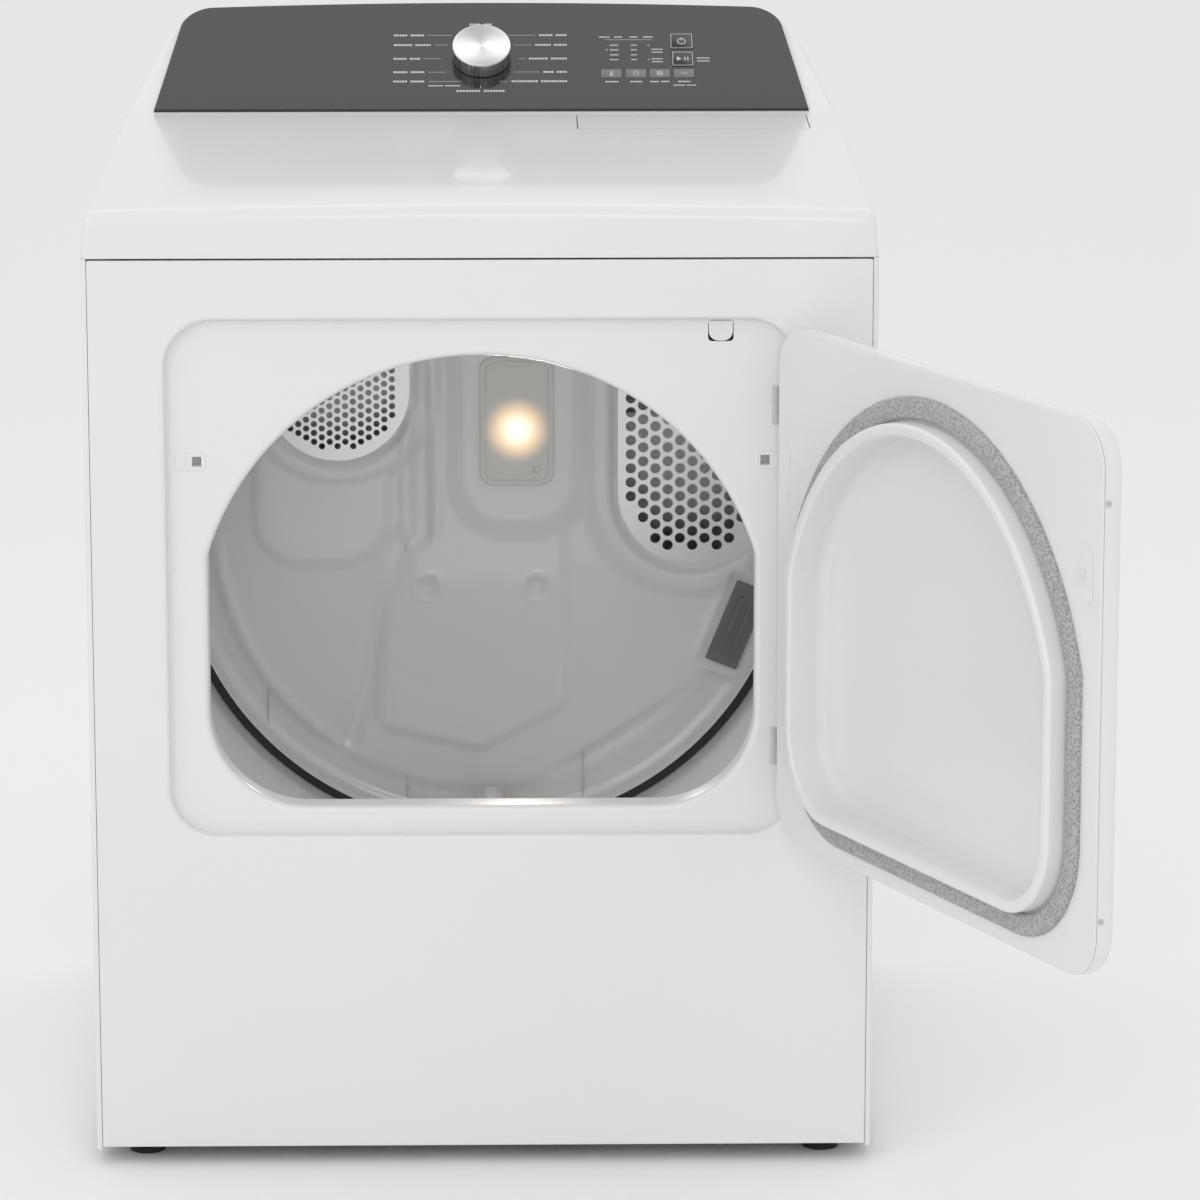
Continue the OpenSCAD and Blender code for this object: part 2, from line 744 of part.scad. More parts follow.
module door_switch_lever() {
    r = 9;
    t = 2;
    front = recess_depth - 0.8;
    x0 = lever_x - lever_w / 2;
    color("white") from_front() {
        along_depth(front, front + t) polygon(concat(
            [[x0 + lever_w, lever_hi - 0.4], [x0, lever_hi - 0.4]],
            arc([x0 + r, lever_lo + r], r, 180, 270), arc([x0 + lever_w - r, lever_lo + r], r, 270, 360)));
        translate([lever_x, lever_pin[0], lever_pin[1]]) rotate([0, 90, 0])
            cylinder(r = 1.5, h = lever_w + 6, center = true);
        box(x0 + 3, x0 + lever_w - 3, front + t - eps, lever_pin[0], lever_pin[1] - 1.2, lever_pin[1] + 1.2);
    }
}

// ---- drum and bulkheads --------------------------------------------

module front_bulkhead() {
    color("white") from_front() {
        along_depth(front_plane_d, front_plane_d + sheet) difference() {
            polygon(round_rect(-in_w, in_w, 25, body_h - 12, 4));
            polygon(opening(sheet + 0.3));
        }
        tube(0, drum_z, ring_r, ring_r - collar_t, front_plane_d + sheet - eps, lip_front_d + 14);
    }
}

module front_drum_seal() {
    color("dimgray") from_front() tube(0, drum_z, ring_r + seal_t, ring_r, lip_front_d + 2, lip_front_d + 12);
}

module drum_shell() {
    profile = [[lip_r, lip_front_d], [lip_r, lip_front_d + 14], [drum_r, lip_front_d + 30],
               [drum_r, drum_rear_d]];
    color("lightgray") from_front() translate([0, 0, drum_z]) rotate([-90, 0, 0])
        rotate_extrude() polygon(ribbon(profile, -drum_t));
}

module drum_baffle(k) {
    foot_w = 5.6;
    tip = drum_r - baffle_h;
    color("white") from_front() translate([0, 0, drum_z]) rotate([0, -baffle_turn - 120 * k, 0])
        along_depth(lip_front_d + 36, drum_rear_d - 16) polygon(concat(
            arc([0, 0], drum_r, 270 - foot_w, 270 + foot_w),
            [[12, -tip - 7], [5, -tip], [-5, -tip], [-12, -tip - 7]]));
}

module drum_baffle_1() { drum_baffle(0); }
module drum_baffle_2() { drum_baffle(1); }
module drum_baffle_3() { drum_baffle(2); }

module lamp_outline(grow) {
    w = lamp_size[0] / 2 + grow;
    h = lamp_size[1] / 2 + grow;
    polygon(round_rect(lamp[0] - w, lamp[0] + w, lamp[1] - h, lamp[1] + h, 14 + grow));
}

module grille_shape(x, z, r, grow) {
    intersection() {
        along_depth(rear_plane_d - 2, rear_face_d + cut) polygon(grille_outline(x, z, r + grow));
        rod(0, drum_z, grille_limit + grow, rear_plane_d - 3, rear_face_d + 2);
    }
}

module rear_bulkhead() {
    boss = 8;
    color("whitesmoke") from_front() difference() {
        union() {
            box(-in_w, in_w, rear_plane_d, rear_face_d, pan_rim, body_h - 12);
            box(2 - in_w, in_w - 2, rear_plane_d, rear_face_d, 4, pan_rim + 2);
            tube(0, drum_z, rear_ring_r, rear_ring_r - collar_t, drum_rear_d - 10, rear_plane_d + eps);
            along_depth(rear_plane_d - boss, rear_plane_d + eps) lamp_outline(10);
        }
        box(duct_x0, in_w + cut, rear_plane_d - cut, rear_face_d + cut, notch_z, body_h);
        grille_shape(inlet_x, inlet_z, inlet_r, 0);
        grille_shape(outlet_x, outlet_z, outlet_r, 0);
        along_depth(rear_plane_d - boss - cut, rear_face_d + cut) lamp_outline(-14);
        rod(motor_x, motor_z, shaft_motor_r + 3, rear_plane_d - cut, rear_face_d + cut);
    }
}

module rear_drum_seal() {
    color([0.05, 0.05, 0.05]) from_front()
        tube(0, drum_z, drum_r - apart, rear_ring_r, drum_rear_d - 8, drum_rear_d);
}

module grille(x, z, r, pitch, hole_r) {
    rows = ceil((grille_top - z + r) / pitch) + 1;
    cols = ceil(r / (pitch * sin(60))) + 1;
    color("silver") from_front() intersection() {
        along_depth(rear_plane_d - sheet, rear_plane_d) difference() {
            polygon(grille_outline(x, z, r + grille_edge));
            for (i = [-cols:cols], j = [0:rows]) {
                p = [x + i * pitch * sin(60), z - r + (j + (i % 2 == 0 ? 0 : 0.5)) * pitch];
                if (in_grille(p, x, z, r, hole_r)) translate(p) circle(r = hole_r, $fn = 24);
            }
        }
        rod(0, drum_z, grille_limit + grille_edge, rear_plane_d - 3, rear_face_d);
    }
}

module inlet_grille() { grille(inlet_x, inlet_z, inlet_r, 9.3, 3.25); }
module outlet_grille() { grille(outlet_x, outlet_z, outlet_r, 14.7, 5.35); }

module lamp_lens() {
    color("white") from_front() along_depth(rear_plane_d - 11, rear_plane_d - 8) lamp_outline(0);
}

module lamp_bulb() {
    seat = 24;
    color("gold") from_front() {
        translate([lamp[0], rear_face_d + 14, lamp[1]]) sphere(r = 12);
        rod(lamp[0], lamp[1], 8, rear_face_d + 14, rear_face_d + 40);
        box(lamp[0] - seat / 2, lamp[0] + seat / 2, rear_face_d + 38, rear_face_d + 40, lamp[1] - 66, lamp[1] + 14);
        box(lamp[0] - seat / 2, lamp[0] + seat / 2, rear_face_d, rear_face_d + 40, lamp[1] - 68, lamp[1] - 66);
    }
}

module moisture_sensor() {
    plate = [34, 88];
    strip = [5, 60];
    color("dimgray") from_front() translate([0, 0, drum_z]) rotate([0, -sensor_turn, 0])
        translate([sensor_at, 0, 0]) {
            box(-plate[0] / 2, plate[0] / 2, rear_plane_d - 5, rear_plane_d, -plate[1] / 2, plate[1] / 2);
            for (x = [-6, 6])
                box(x - strip[0] / 2, x + strip[0] / 2, rear_plane_d - 7, rear_plane_d - 5 + eps,
                    -strip[1] / 2, strip[1] / 2);
        }
}

// ---- air path -------------------------------------------------------

module heater_box() {
    lo = 150;
    hi = grille_top + 10;
    vents = 6;
    color("silver") from_front() difference() {
        box(heater_x0, heater_x1, rear_face_d, heater_d1, lo, hi);
        box(heater_x0 + sheet, heater_x1 - sheet, rear_face_d - cut, heater_d1 - sheet, lo + sheet, hi - sheet);
        for (i = [0:vents - 1])
            box(heater_x0 + 20, heater_x1 - 20, heater_d1 - 2 * sheet, heater_d1 + cut,
                lo + 15 + 14 * i, lo + 22 + 14 * i);
    }
}

module heater_coil() {
    coil_d = rear_face_d + 34;
    rise = 26;
    runs = 8;
    x0 = heater_x0 + 16;
    x1 = heater_x1 - 16;
    color("dimgray") from_front() {
        for (i = [0:runs - 1]) translate([x0, coil_d, 290 + i * rise]) rotate([0, 90, 0]) cylinder(r = 2.5, h = x1 - x0);
        for (x = [x0, x1 - 3])
            box(x, x + 3, coil_d - 14, heater_d1 - sheet, 276, 290 + (runs - 1) * rise + 14);
    }
}

module lint_duct() {
    color("silver") from_front() difference() {
        along_x(duct_x0, duct_x1) polygon(duct_side(0));
        along_x(duct_x0 + sheet, duct_x1 - sheet) polygon(duct_side(sheet));
        rod(motor_x, motor_z, 50, lower_duct_d - 2, lower_duct_d + cut);
    }
}

module lint_screen() {
    frame_w = 12;
    mesh_t = 1;
    cap_t = 2;
    d0 = slot_front + 2.2;
    d1 = slot_rear - 1.2;
    w = slot_w / 2 - 1;
    color("whitesmoke") from_front() union() {
        along_x(slot_x - w, slot_x + w) polygon([
            [d0, top_at(d0) - cap_t], [d1, top_at(d1) - cap_t], [d1, top_at(d1)], [d0, top_at(d0)]]);
        translate([slot_x, blade_d, blade_z]) rotate([blade_tilt, 0, 0]) {
            difference() {
                translate([-blade_w / 2, -blade_t / 2, -blade_len]) cube([blade_w, blade_t, blade_len - cap_t]);
                translate([-blade_w / 2 + frame_w, -blade_t, -blade_len + frame_w])
                    cube([blade_w - 2 * frame_w, 2 * blade_t, blade_len - cap_t - 3 * frame_w]);
            }
            translate([-blade_w / 2 + frame_w - 2, -mesh_t / 2, -blade_len + frame_w - 2])
                cube([blade_w - 2 * frame_w + 4, mesh_t, blade_len - cap_t - 3 * frame_w + 4]);
        }
    }
}

module blower_housing() {
    stub_h = 66;
    low = motor_z - fan_r;
    color("gainsboro") from_front() difference() {
        union() {
            rod(motor_x, motor_z, fan_r, fan_d0, fan_d1);
            box(elbow_w, motor_x, fan_d0, fan_d1, low, low + stub_h);
        }
        rod(motor_x, motor_z, fan_r - 1.5, fan_d0 + 1.5, fan_d1 - 1.5);
        box(elbow_w - cut, motor_x, fan_d0 + 1.5, fan_d1 - 1.5, low + 1.5, low + stub_h - 1.5);
        rod(motor_x, motor_z, 50, fan_d0 - cut, fan_d0 + 3);
    }
}

module exhaust_duct() {
    low = motor_z - fan_r;
    stub_h = 66;
    pipe_r = collar_r - 0.8;
    bore_r = pipe_r - 1;
    color("silver") from_front() difference() {
        union() {
            box(-elbow_w, elbow_w, fan_d0, fan_d1, low, elbow_h);
            rod(0, exhaust_z, pipe_r, fan_d1 - eps, cab_d + eps);
            rod(0, exhaust_z, collar_r, cab_d, cab_d + collar_len);
        }
        box(-elbow_w + sheet, elbow_w - sheet, fan_d0 + sheet, fan_d1 - sheet, low + sheet, elbow_h - sheet);
        box(elbow_w - 2, elbow_w + cut, fan_d0 + 1.5, fan_d1 - 1.5, low + 1.5, low + stub_h - 1.5);
        rod(0, exhaust_z, bore_r, fan_d1 - 4, cab_d + collar_len + cut);
    }
}

module blower_wheel() {
    wheel_r = 74;
    vanes = 16;
    d0 = fan_d0 + 8;
    d1 = fan_d0 + 52;
    color("gainsboro") from_front() {
        tube(motor_x, motor_z, wheel_r, shaft_motor_r, d1 - 2, d1);
        tube(motor_x, motor_z, 12, shaft_motor_r, d1 - 20, d1 - 2 + eps);
        tube(motor_x, motor_z, wheel_r, wheel_r - 6, d0, d0 + 2);
        translate([motor_x, 0, motor_z]) for (i = [0:vanes - 1]) rotate([0, i * 360 / vanes, 0])
            box(wheel_r - 18, wheel_r - 1, d0 + 1, d1 - 1, -0.75, 0.75);
    }
}

// ---- drive ----------------------------------------------------------

module motor_body() {
    stand = 50;
    color("dimgray") from_front() difference() {
        union() {
            rod(motor_x, motor_z, motor_r, motor_d0, motor_d1);
            rod(motor_x, motor_z, 16, motor_d0 - 8, motor_d1 + 8);
            for (d = [motor_d0 + 6, motor_d1 - 12])
                box(motor_x - stand, motor_x + stand, d, d + 6, 1.2, motor_z - 20);
        }
        rod(motor_x, motor_z, shaft_motor_r + running, motor_d0 - 20, motor_d1 + 20);
    }
}

module motor_shaft() {
    color("silver") from_front() rod(motor_x, motor_z, shaft_motor_r, belt_d[0] - 10, fan_d0 + 56);
}

module motor_pulley() {
    color("gray") from_front() difference() {
        union() {
            rod(motor_x, motor_z, pulley_r, belt_d[0] - 3, belt_d[1] + 3);
            rod(motor_x, motor_z, pulley_r + 4, belt_d[1] + 1.5, belt_d[1] + 3);
            rod(motor_x, motor_z, pulley_r + 4, belt_d[0] - 3, belt_d[0] - 1.5);
        }
        rod(motor_x, motor_z, shaft_motor_r, belt_d[0] - 10, belt_d[1] + 10);
    }
}

module drive_belt() {
    loop = [[0, drum_z, drum_out + belt_gap], [idler[0], idler[1], idler_r + belt_gap],
            [motor_x, motor_z, pulley_r + belt_gap]];
    color([0.08, 0.08, 0.08]) from_front() along_depth(belt_d[0], belt_d[1]) difference() {
        polygon(belt_outline(loop, belt_t));
        polygon(belt_outline(loop, 0));
    }
}

module idler_arm() {
    arm_d = belt_d[1] + 6;
    arm_t = 5;
    v = idler_pivot - idler;
    pivot_end = 380;
    color("silver") from_front() {
        rod(idler[0], idler[1], stud_r, belt_d[0] - 4, arm_d + arm_t / 2);
        rod(idler[0], idler[1], 9, arm_d, arm_d + arm_t);
        rod(idler_pivot[0], idler_pivot[1], 9, arm_d, arm_d + arm_t);
        rod(idler_pivot[0], idler_pivot[1], stud_r, arm_d + arm_t / 2, pivot_end);
        translate([idler[0], arm_d, idler[1]]) rotate([0, -atan2(v[1], v[0]), 0])
            translate([0, arm_t / 4, -6]) cube([norm(v), arm_t / 2, 12]);
    }
}

module idler_pulley() {
    color("gray") from_front()
        tube(idler[0], idler[1], idler_r, stud_r + running, belt_d[0] - 3, belt_d[1] + 4);
}

module roller_spot(side) {
    translate([side * roller_at * sin(roller_turn), 0, drum_z - roller_at * cos(roller_turn)]) children();
}

module roller_shafts() {
    color("silver") from_front() for (s = [-1, 1]) roller_spot(s) {
        rod(0, 0, roller_shaft_r, roller_d[0] - 6, rear_plane_d);
        rod(0, 0, 11, roller_d[1] + 1, roller_d[1] + 5);
        rod(0, 0, 11, roller_d[0] - 5, roller_d[0] - 1);
    }
}

module roller(side) {
    color("dimgray") from_front() roller_spot(side)
        tube(0, 0, roller_r, roller_shaft_r + running, roller_d[0], roller_d[1]);
}

module roller_left() { roller(-1); }
module roller_right() { roller(1); }

module terminal_block() {
    studs = 3;
    d1 = rear_in_d;
    color("saddlebrown") from_front() {
        box(cord_hole[0] - 32, cord_hole[0] + 32, d1 - 30, d1, cord_hole[1] + 34, cord_hole[1] + 70);
        for (i = [0:studs - 1]) rod(cord_hole[0] - 20 + 20 * i, cord_hole[1] + 52, 3, d1 - 42, d1 - 30 + eps);
    }
}

left_side_panel();
right_side_panel();
rear_panel();
base_pan();
front_panel();
top_panel();
console_shell();
console_fascia();
control_board();
front_bulkhead();
front_drum_seal();
rear_bulkhead();
rear_drum_seal();
inlet_grille();
outlet_grille();
lamp_lens();
lamp_bulb();
moisture_sensor();
heater_box();
heater_coil();
lint_duct();
blower_housing();
exhaust_duct();
motor_body();
drive_belt();
roller_shafts();
hinge_brackets();
door_catch();
terminal_block();
cabinet_screws();
door_outer_panel();
door_inner_panel();
door_seal();
door_strike();
door_hinge_pins();
door_screws();
programme_knob();
power_button();
start_button();
temperature_button();
time_button();
options_button();
more_button();
drum_shell();
drum_baffle_1();
drum_baffle_2();
drum_baffle_3();
motor_shaft();
motor_pulley();
blower_wheel();
idler_arm();
idler_pulley();
roller_left();
roller_right();
lint_screen();
door_switch_lever();
foot_front_left();
foot_front_right();
foot_rear_left();
foot_rear_right();
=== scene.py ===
import bpy
import bmesh
import json
import math
import numpy as np
from mathutils import Matrix, Vector


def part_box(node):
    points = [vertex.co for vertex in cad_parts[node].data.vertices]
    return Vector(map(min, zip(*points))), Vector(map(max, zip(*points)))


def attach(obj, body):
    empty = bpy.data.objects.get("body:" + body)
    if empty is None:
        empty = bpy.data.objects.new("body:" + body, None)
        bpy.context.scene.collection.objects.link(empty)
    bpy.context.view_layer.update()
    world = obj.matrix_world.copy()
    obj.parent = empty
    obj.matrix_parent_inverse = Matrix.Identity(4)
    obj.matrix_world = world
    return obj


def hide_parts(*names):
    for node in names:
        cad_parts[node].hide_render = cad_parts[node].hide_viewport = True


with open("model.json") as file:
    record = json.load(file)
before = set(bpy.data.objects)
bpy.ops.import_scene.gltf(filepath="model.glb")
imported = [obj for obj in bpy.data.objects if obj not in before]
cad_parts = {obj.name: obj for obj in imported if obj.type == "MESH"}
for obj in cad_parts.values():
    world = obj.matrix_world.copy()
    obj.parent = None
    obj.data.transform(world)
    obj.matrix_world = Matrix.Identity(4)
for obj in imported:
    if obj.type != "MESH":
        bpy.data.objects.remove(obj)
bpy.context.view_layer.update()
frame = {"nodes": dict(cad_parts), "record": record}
print("frame loaded:", len(frame["nodes"]), "nodes")

mm = 0.001
front = -0.350                          # the cabinet's front face, in metres
cabinet = {"halfW": 368.5, "depth": 700, "height": 856, "frontW": 363.2, "low": 2, "high": 854.5, "seam": 9}
opening = {"r": 267.5, "z": 495.5, "halfW": 256, "low": 333, "corner": 93,
           "merge": 4}      # points nearer than this would cross when the outline is inset
recess = {"halfW": 293, "low": 307.5, "high": 798.5, "r": 45, "depth": 11}
drum = {"z": 490}


def at(x, d, z):
    # x across, d behind the front face, z up, all in millimetres
    return Vector((x * mm, front + d * mm, z * mm))


# camera, light and floor

view = {"eye": (20, -5150, 1641), "aim": (110.5, 0, 533.4), "lens": 169.2}
cameraData = bpy.data.cameras.new("camera")
cameraData.lens = view["lens"]
cameraData.clip_end = 50
camera = bpy.data.objects.new("camera", cameraData)
bpy.context.scene.collection.objects.link(camera)
camera.location = at(*view["eye"])
camera.rotation_euler = (at(*view["aim"]) - camera.location).to_track_quat("-Z", "Y").to_euler()
bpy.context.scene.camera = camera
bpy.context.scene.view_settings.view_transform = "Standard"


def addSoftLight(name, place, aim, size, power, colour=(1, 1, 1)):
    data = bpy.data.lights.new(name, "AREA")
    data.shape = "RECTANGLE"
    data.size, data.size_y = size
    data.energy = power
    data.color = colour
    lamp = bpy.data.objects.new(name, data)
    bpy.context.scene.collection.objects.link(lamp)
    lamp.location = place
    lamp.rotation_euler = (Vector(aim) - Vector(place)).to_track_quat("-Z", "Y").to_euler()


addSoftLight("keyLight", (-2.2, -3.4, 2.6), (0, -0.2, 0.6), (1.8, 2.4), 16)
addSoftLight("frontLight", (0.4, -4.6, 2.3), (0, 0.2, 0.5), (1.6, 1.0), 14)
addSoftLight("topLight", (0, 1.0, 3.4), (0, 0, 0.5), (2.6, 1.4), 9)
world = bpy.data.worlds.new("world")
bpy.context.scene.world = world
world.use_nodes = True
world.node_tree.nodes["Background"].inputs["Color"].default_value = (1, 1, 1, 1)
world.node_tree.nodes["Background"].inputs["Strength"].default_value = 0.86

bpy.ops.mesh.primitive_plane_add(size=30, location=(0, 0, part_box("foot_front_left")[0][2]))
floor = bpy.context.object
floor.name = "floor"
print("camera, lights and floor ready")


# materials

class Sock:
    # a socket whose sums become Math nodes
    def __init__(self, paint, socket):
        self.paint, self.socket = paint, socket

    def sum(self, kind, a, b=0.0):
        return self.paint.node("ShaderNodeMath", {"operation": kind}, {0: a, 1: b})

    def __add__(self, other): return self.sum("ADD", self, other)
    def __radd__(self, other): return self.sum("ADD", other, self)
    def __sub__(self, other): return self.sum("SUBTRACT", self, other)
    def __rsub__(self, other): return self.sum("SUBTRACT", other, self)
    def __mul__(self, other): return self.sum("MULTIPLY", self, other)
    def __rmul__(self, other): return self.sum("MULTIPLY", other, self)
    def __pow__(self, other): return self.sum("POWER", self, other)
    def sine(self): return self.sum("SINE", self)
    def rise(self, low, high):
        # 0 below low, 1 above high, smooth between
        return self.paint.node("ShaderNodeMapRange", {"interpolation_type": "SMOOTHSTEP"},
                               {"Value": self, "From Min": low, "From Max": high}, "Result")


class Paint:
    # one material and the nodes that make its finish
    def __init__(self, name, colour, rough, metal=0.0, coat=0.0, coatRough=0.05, **more):
        self.material = bpy.data.materials.new(name)
        self.material.use_nodes = True
        self.tree = self.material.node_tree
        self.shader = self.tree.nodes["Principled BSDF"]
        self.set("Base Color", (*colour, 1))
        self.set("Roughness", rough)
        self.set("Metallic", metal)
        self.set("Coat Weight", coat)
        self.set("Coat Roughness", coatRough)
        for key, value in more.items():
            self.set(key.replace("_", " "), value)
        self.material.diffuse_color = (*colour, 1)

    def set(self, name, value):
        if isinstance(value, Sock):
            self.tree.links.new(value.socket, self.shader.inputs[name])
        else:
            self.shader.inputs[name].default_value = value

    def node(self, kind, settings, sockets, out=0):
        made = self.tree.nodes.new(kind)
        for key, value in settings.items():
            setattr(made, key, value)
        for key, value in sockets.items():
            if isinstance(value, Sock):
                self.tree.links.new(value.socket, made.inputs[key])
            else:
                made.inputs[key].default_value = value
        return Sock(self, made.outputs[out])

    def place(self):
        return self.node("ShaderNodeTexCoord", {}, {}, "Object")

    def axes(self, vector=None):
        where = vector if vector is not None else self.place()
        return [self.node("ShaderNodeSeparateXYZ", {}, {0: where}, k) for k in range(3)]

    def moved(self, location=(0, 0, 0), rotation=(0, 0, 0), scale=(1, 1, 1)):
        return self.node("ShaderNodeMapping", {"vector_type": "TEXTURE"},
                         {"Vector": self.place(), "Location": location, "Rotation": rotation, "Scale": scale})

    def noise(self, scale, detail=2.0, rough=0.5, vector=None):
        where = vector if vector is not None else self.place()
        return self.node("ShaderNodeTexNoise", {}, {"Vector": where, "Scale": scale, "Detail": detail,
                                                    "Roughness": rough}, "Fac")

    def mix(self, factor, a, b):
        return self.node("ShaderNodeMix", {"data_type": "RGBA"},
                         {0: factor, 6: (*a, 1) if isinstance(a, tuple) else a,
                          7: (*b, 1) if isinstance(b, tuple) else b}, 2)

    def bump(self, height, strength, distance):
        self.set("Normal", self.node("ShaderNodeBump", {}, {"Height": height, "Strength": strength,
                                                            "Distance": distance}))
        return self


def coated(name, colour, rough=0.2, peel=0.05, coat=0.5, grain=420, fade=0.97, drift=3):
    # enamel or moulded plastic: a faint drift of tone and a fine uneven surface
    paint = Paint(name, colour, rough, coat=coat)
    speck = paint.noise(grain, 2)
    dark = tuple(c * fade for c in colour)
    paint.set("Base Color", paint.mix(paint.noise(drift, 1), colour, dark))
    paint.set("Roughness", speck * 0.08 + (rough - 0.04))
    return paint.bump(speck, peel, 0.0004)


def steel(name, colour, rough, grain, stretch=(1, 1, 1), spread=0.12, depth=0.0002):
    # bare metal, brushed along one axis where stretch says so
    paint = Paint(name, colour, rough, metal=1.0)
    lines = paint.noise(grain, 3, 0.6, paint.moved(scale=stretch))
    dark = tuple(c * (1 - spread * 2) for c in colour)
    paint.set("Base Color", paint.mix(lines, dark, colour))
    paint.set("Roughness", lines * spread + (rough - spread / 2))
    return paint.bump(lines, 0.25, depth)


def galvanised():
    # zinc spangle: large crystals of slightly different tone
    paint = Paint("galvanisedSteel", (0.62, 0.64, 0.66), 0.38, metal=1.0)
    cells = paint.node("ShaderNodeTexVoronoi", {}, {"Vector": paint.place(), "Scale": 60}, "Color")
    tone = paint.axes(cells)[0]
    paint.set("Base Color", paint.mix(tone, (0.54, 0.56, 0.58), (0.72, 0.74, 0.76)))
    paint.set("Roughness", tone * 0.14 + 0.32)
    return paint.bump(tone, 0.1, 0.0003)


def dull(name, colour, rough=0.7, grain=300, depth=0.0006, spread=0.25):
    # felt, rubber and rough mouldings
    paint = Paint(name, colour, rough)
    fibre = paint.noise(grain, 4, 0.7)
    dark = tuple(c * (1 - spread) for c in colour)
    paint.set("Base Color", paint.mix(fibre, dark, colour))
    paint.set("Roughness", fibre * 0.2 + (rough - 0.1))
    return paint.bump(fibre, 0.4, depth)


finish = {
    "white_enamel": coated("whiteEnamel", (0.80, 0.80, 0.80), 0.3, 0.05, 0.25),
    "white_plastic": coated("whitePlastic", (0.79, 0.79, 0.785), 0.3, 0.06, 0.25, 700),
    "bulkhead_enamel": coated("bulkheadEnamel", (0.82, 0.825, 0.83), 0.22, 0.05, 0.5),
    "drum_enamel": coated("drumEnamel", (0.80, 0.805, 0.81), 0.26, 0.06, 0.4, 500),
    "galvanised_steel": galvanised(),
    "black_gloss": coated("blackGloss", (0.012, 0.012, 0.013), 0.16, 0.02, 0.3, 900, 0.8),
    "key_grey": coated("keyGrey", (0.16, 0.16, 0.165), 0.35, 0.04, 0.1, 800),
    "knob_metal": steel("knobMetal", (0.78, 0.78, 0.78), 0.3, 90, (0.02, 0.02, 1)),
    "board_green": coated("boardGreen", (0.03, 0.16, 0.07), 0.4, 0.1, 0.2, 200, 0.7, 90),
    "grille_metal": steel("grilleMetal", (0.80, 0.80, 0.80), 0.3, 60, (1, 1, 0.05), 0.08),
    "lamp_plastic": coated("lampPlastic", (0.70, 0.70, 0.69), 0.25, 0.05, 0.3),
    "bulb_glass": coated("bulbGlass", (0.9, 0.86, 0.75), 0.1, 0.02, 0.8),
    "sensor_grey": dull("sensorGrey", (0.19, 0.19, 0.2), 0.5, 500, 0.0002, 0.12),
    "plated_steel": steel("platedSteel", (0.66, 0.67, 0.68), 0.3, 220),
    "grey_plastic": dull("greyPlastic", (0.24, 0.24, 0.25), 0.55, 600, 0.0002, 0.12),
    "motor_paint": coated("motorPaint", (0.07, 0.07, 0.075), 0.45, 0.15, 0.1, 160, 0.8),
    "belt_rubber": dull("beltRubber", (0.02, 0.02, 0.021), 0.7, 400, 0.0003, 0.3),
    "seal_felt": dull("sealFelt", (0.06, 0.06, 0.062), 0.9, 900, 0.0008, 0.4),
    "gasket_grey": dull("gasketGrey", (0.32, 0.32, 0.325), 0.75, 500, 0.0004, 0.2),
    "terminal_brown": dull("terminalBrown", (0.13, 0.06, 0.03), 0.45, 500, 0.0002, 0.15),
}

nodeSlot = {part["node"]: part["material_slot"] for part in frame["record"]["subparts"]}
for name, node in frame["nodes"].items():
    node.data.materials.clear()
    node.data.materials.append(finish[nodeSlot[name]].material)

floorPaint = Paint("floorPaint", (0.92, 0.92, 0.92), 0.6)
floorPaint.set("Roughness", floorPaint.noise(8) * 0.1 + 0.55)
floor.data.materials.append(floorPaint.material)
print("materials ready")


# modelling helpers

def leaveEdit():
    if bpy.context.object and bpy.context.object.mode == "EDIT":
        bpy.ops.object.mode_set(mode="OBJECT")


def pick(*objs):
    # these objects alone selected, the first one active
    leaveEdit()
    bpy.ops.object.select_all(action="DESELECT")
    for obj in objs:
        obj.select_set(True)
    bpy.context.view_layer.objects.active = objs[0]


def edit(obj, kind="VERT", everything=False):
    pick(obj)
    bpy.ops.object.mode_set(mode="EDIT")
    bpy.ops.mesh.select_mode(type=kind)
    bpy.ops.mesh.select_all(action="SELECT" if everything else "DESELECT")


def choose(obj, verts=None, edges=None, faces=None):
    # selects the parts of a mesh in edit mode that a test accepts
    mesh = bmesh.from_edit_mesh(obj.data)
    bpy.ops.mesh.select_all(action="DESELECT")
    group, test = (mesh.verts, verts) if verts else (mesh.edges, edges) if edges else (mesh.faces, faces)
    for part in group:
        if test(part):
            part.select_set(True)
    mesh.select_flush_mode()
    bmesh.update_edit_mesh(obj.data)


def settle(obj):
    # the object's place goes into its mesh
    pick(obj)
    bpy.ops.object.transform_apply(location=True, rotation=True, scale=True)
    return obj


def join(name, parts):
    pick(*parts)
    if len(parts) > 1:
        bpy.ops.object.join()
    obj = bpy.context.object
    obj.name = name
    return obj


def addPlate(name, x0, x1, z0, z1, d=0, r=0, segments=10):
    # an upright rounded rectangle, facing the front
    leaveEdit()
    bpy.ops.mesh.primitive_plane_add(size=1, location=at((x0 + x1) / 2, d, (z0 + z1) / 2),
                                     rotation=(math.pi / 2, 0, 0))
    obj = bpy.context.object
    obj.name = name
    obj.scale = ((x1 - x0) * mm, (z1 - z0) * mm, 1)
    settle(obj)
    if r:
        edit(obj, everything=True)
        bpy.ops.mesh.bevel(offset=r * mm, segments=segments, affect="VERTICES")
    edit(obj, "FACE", True)
    return obj


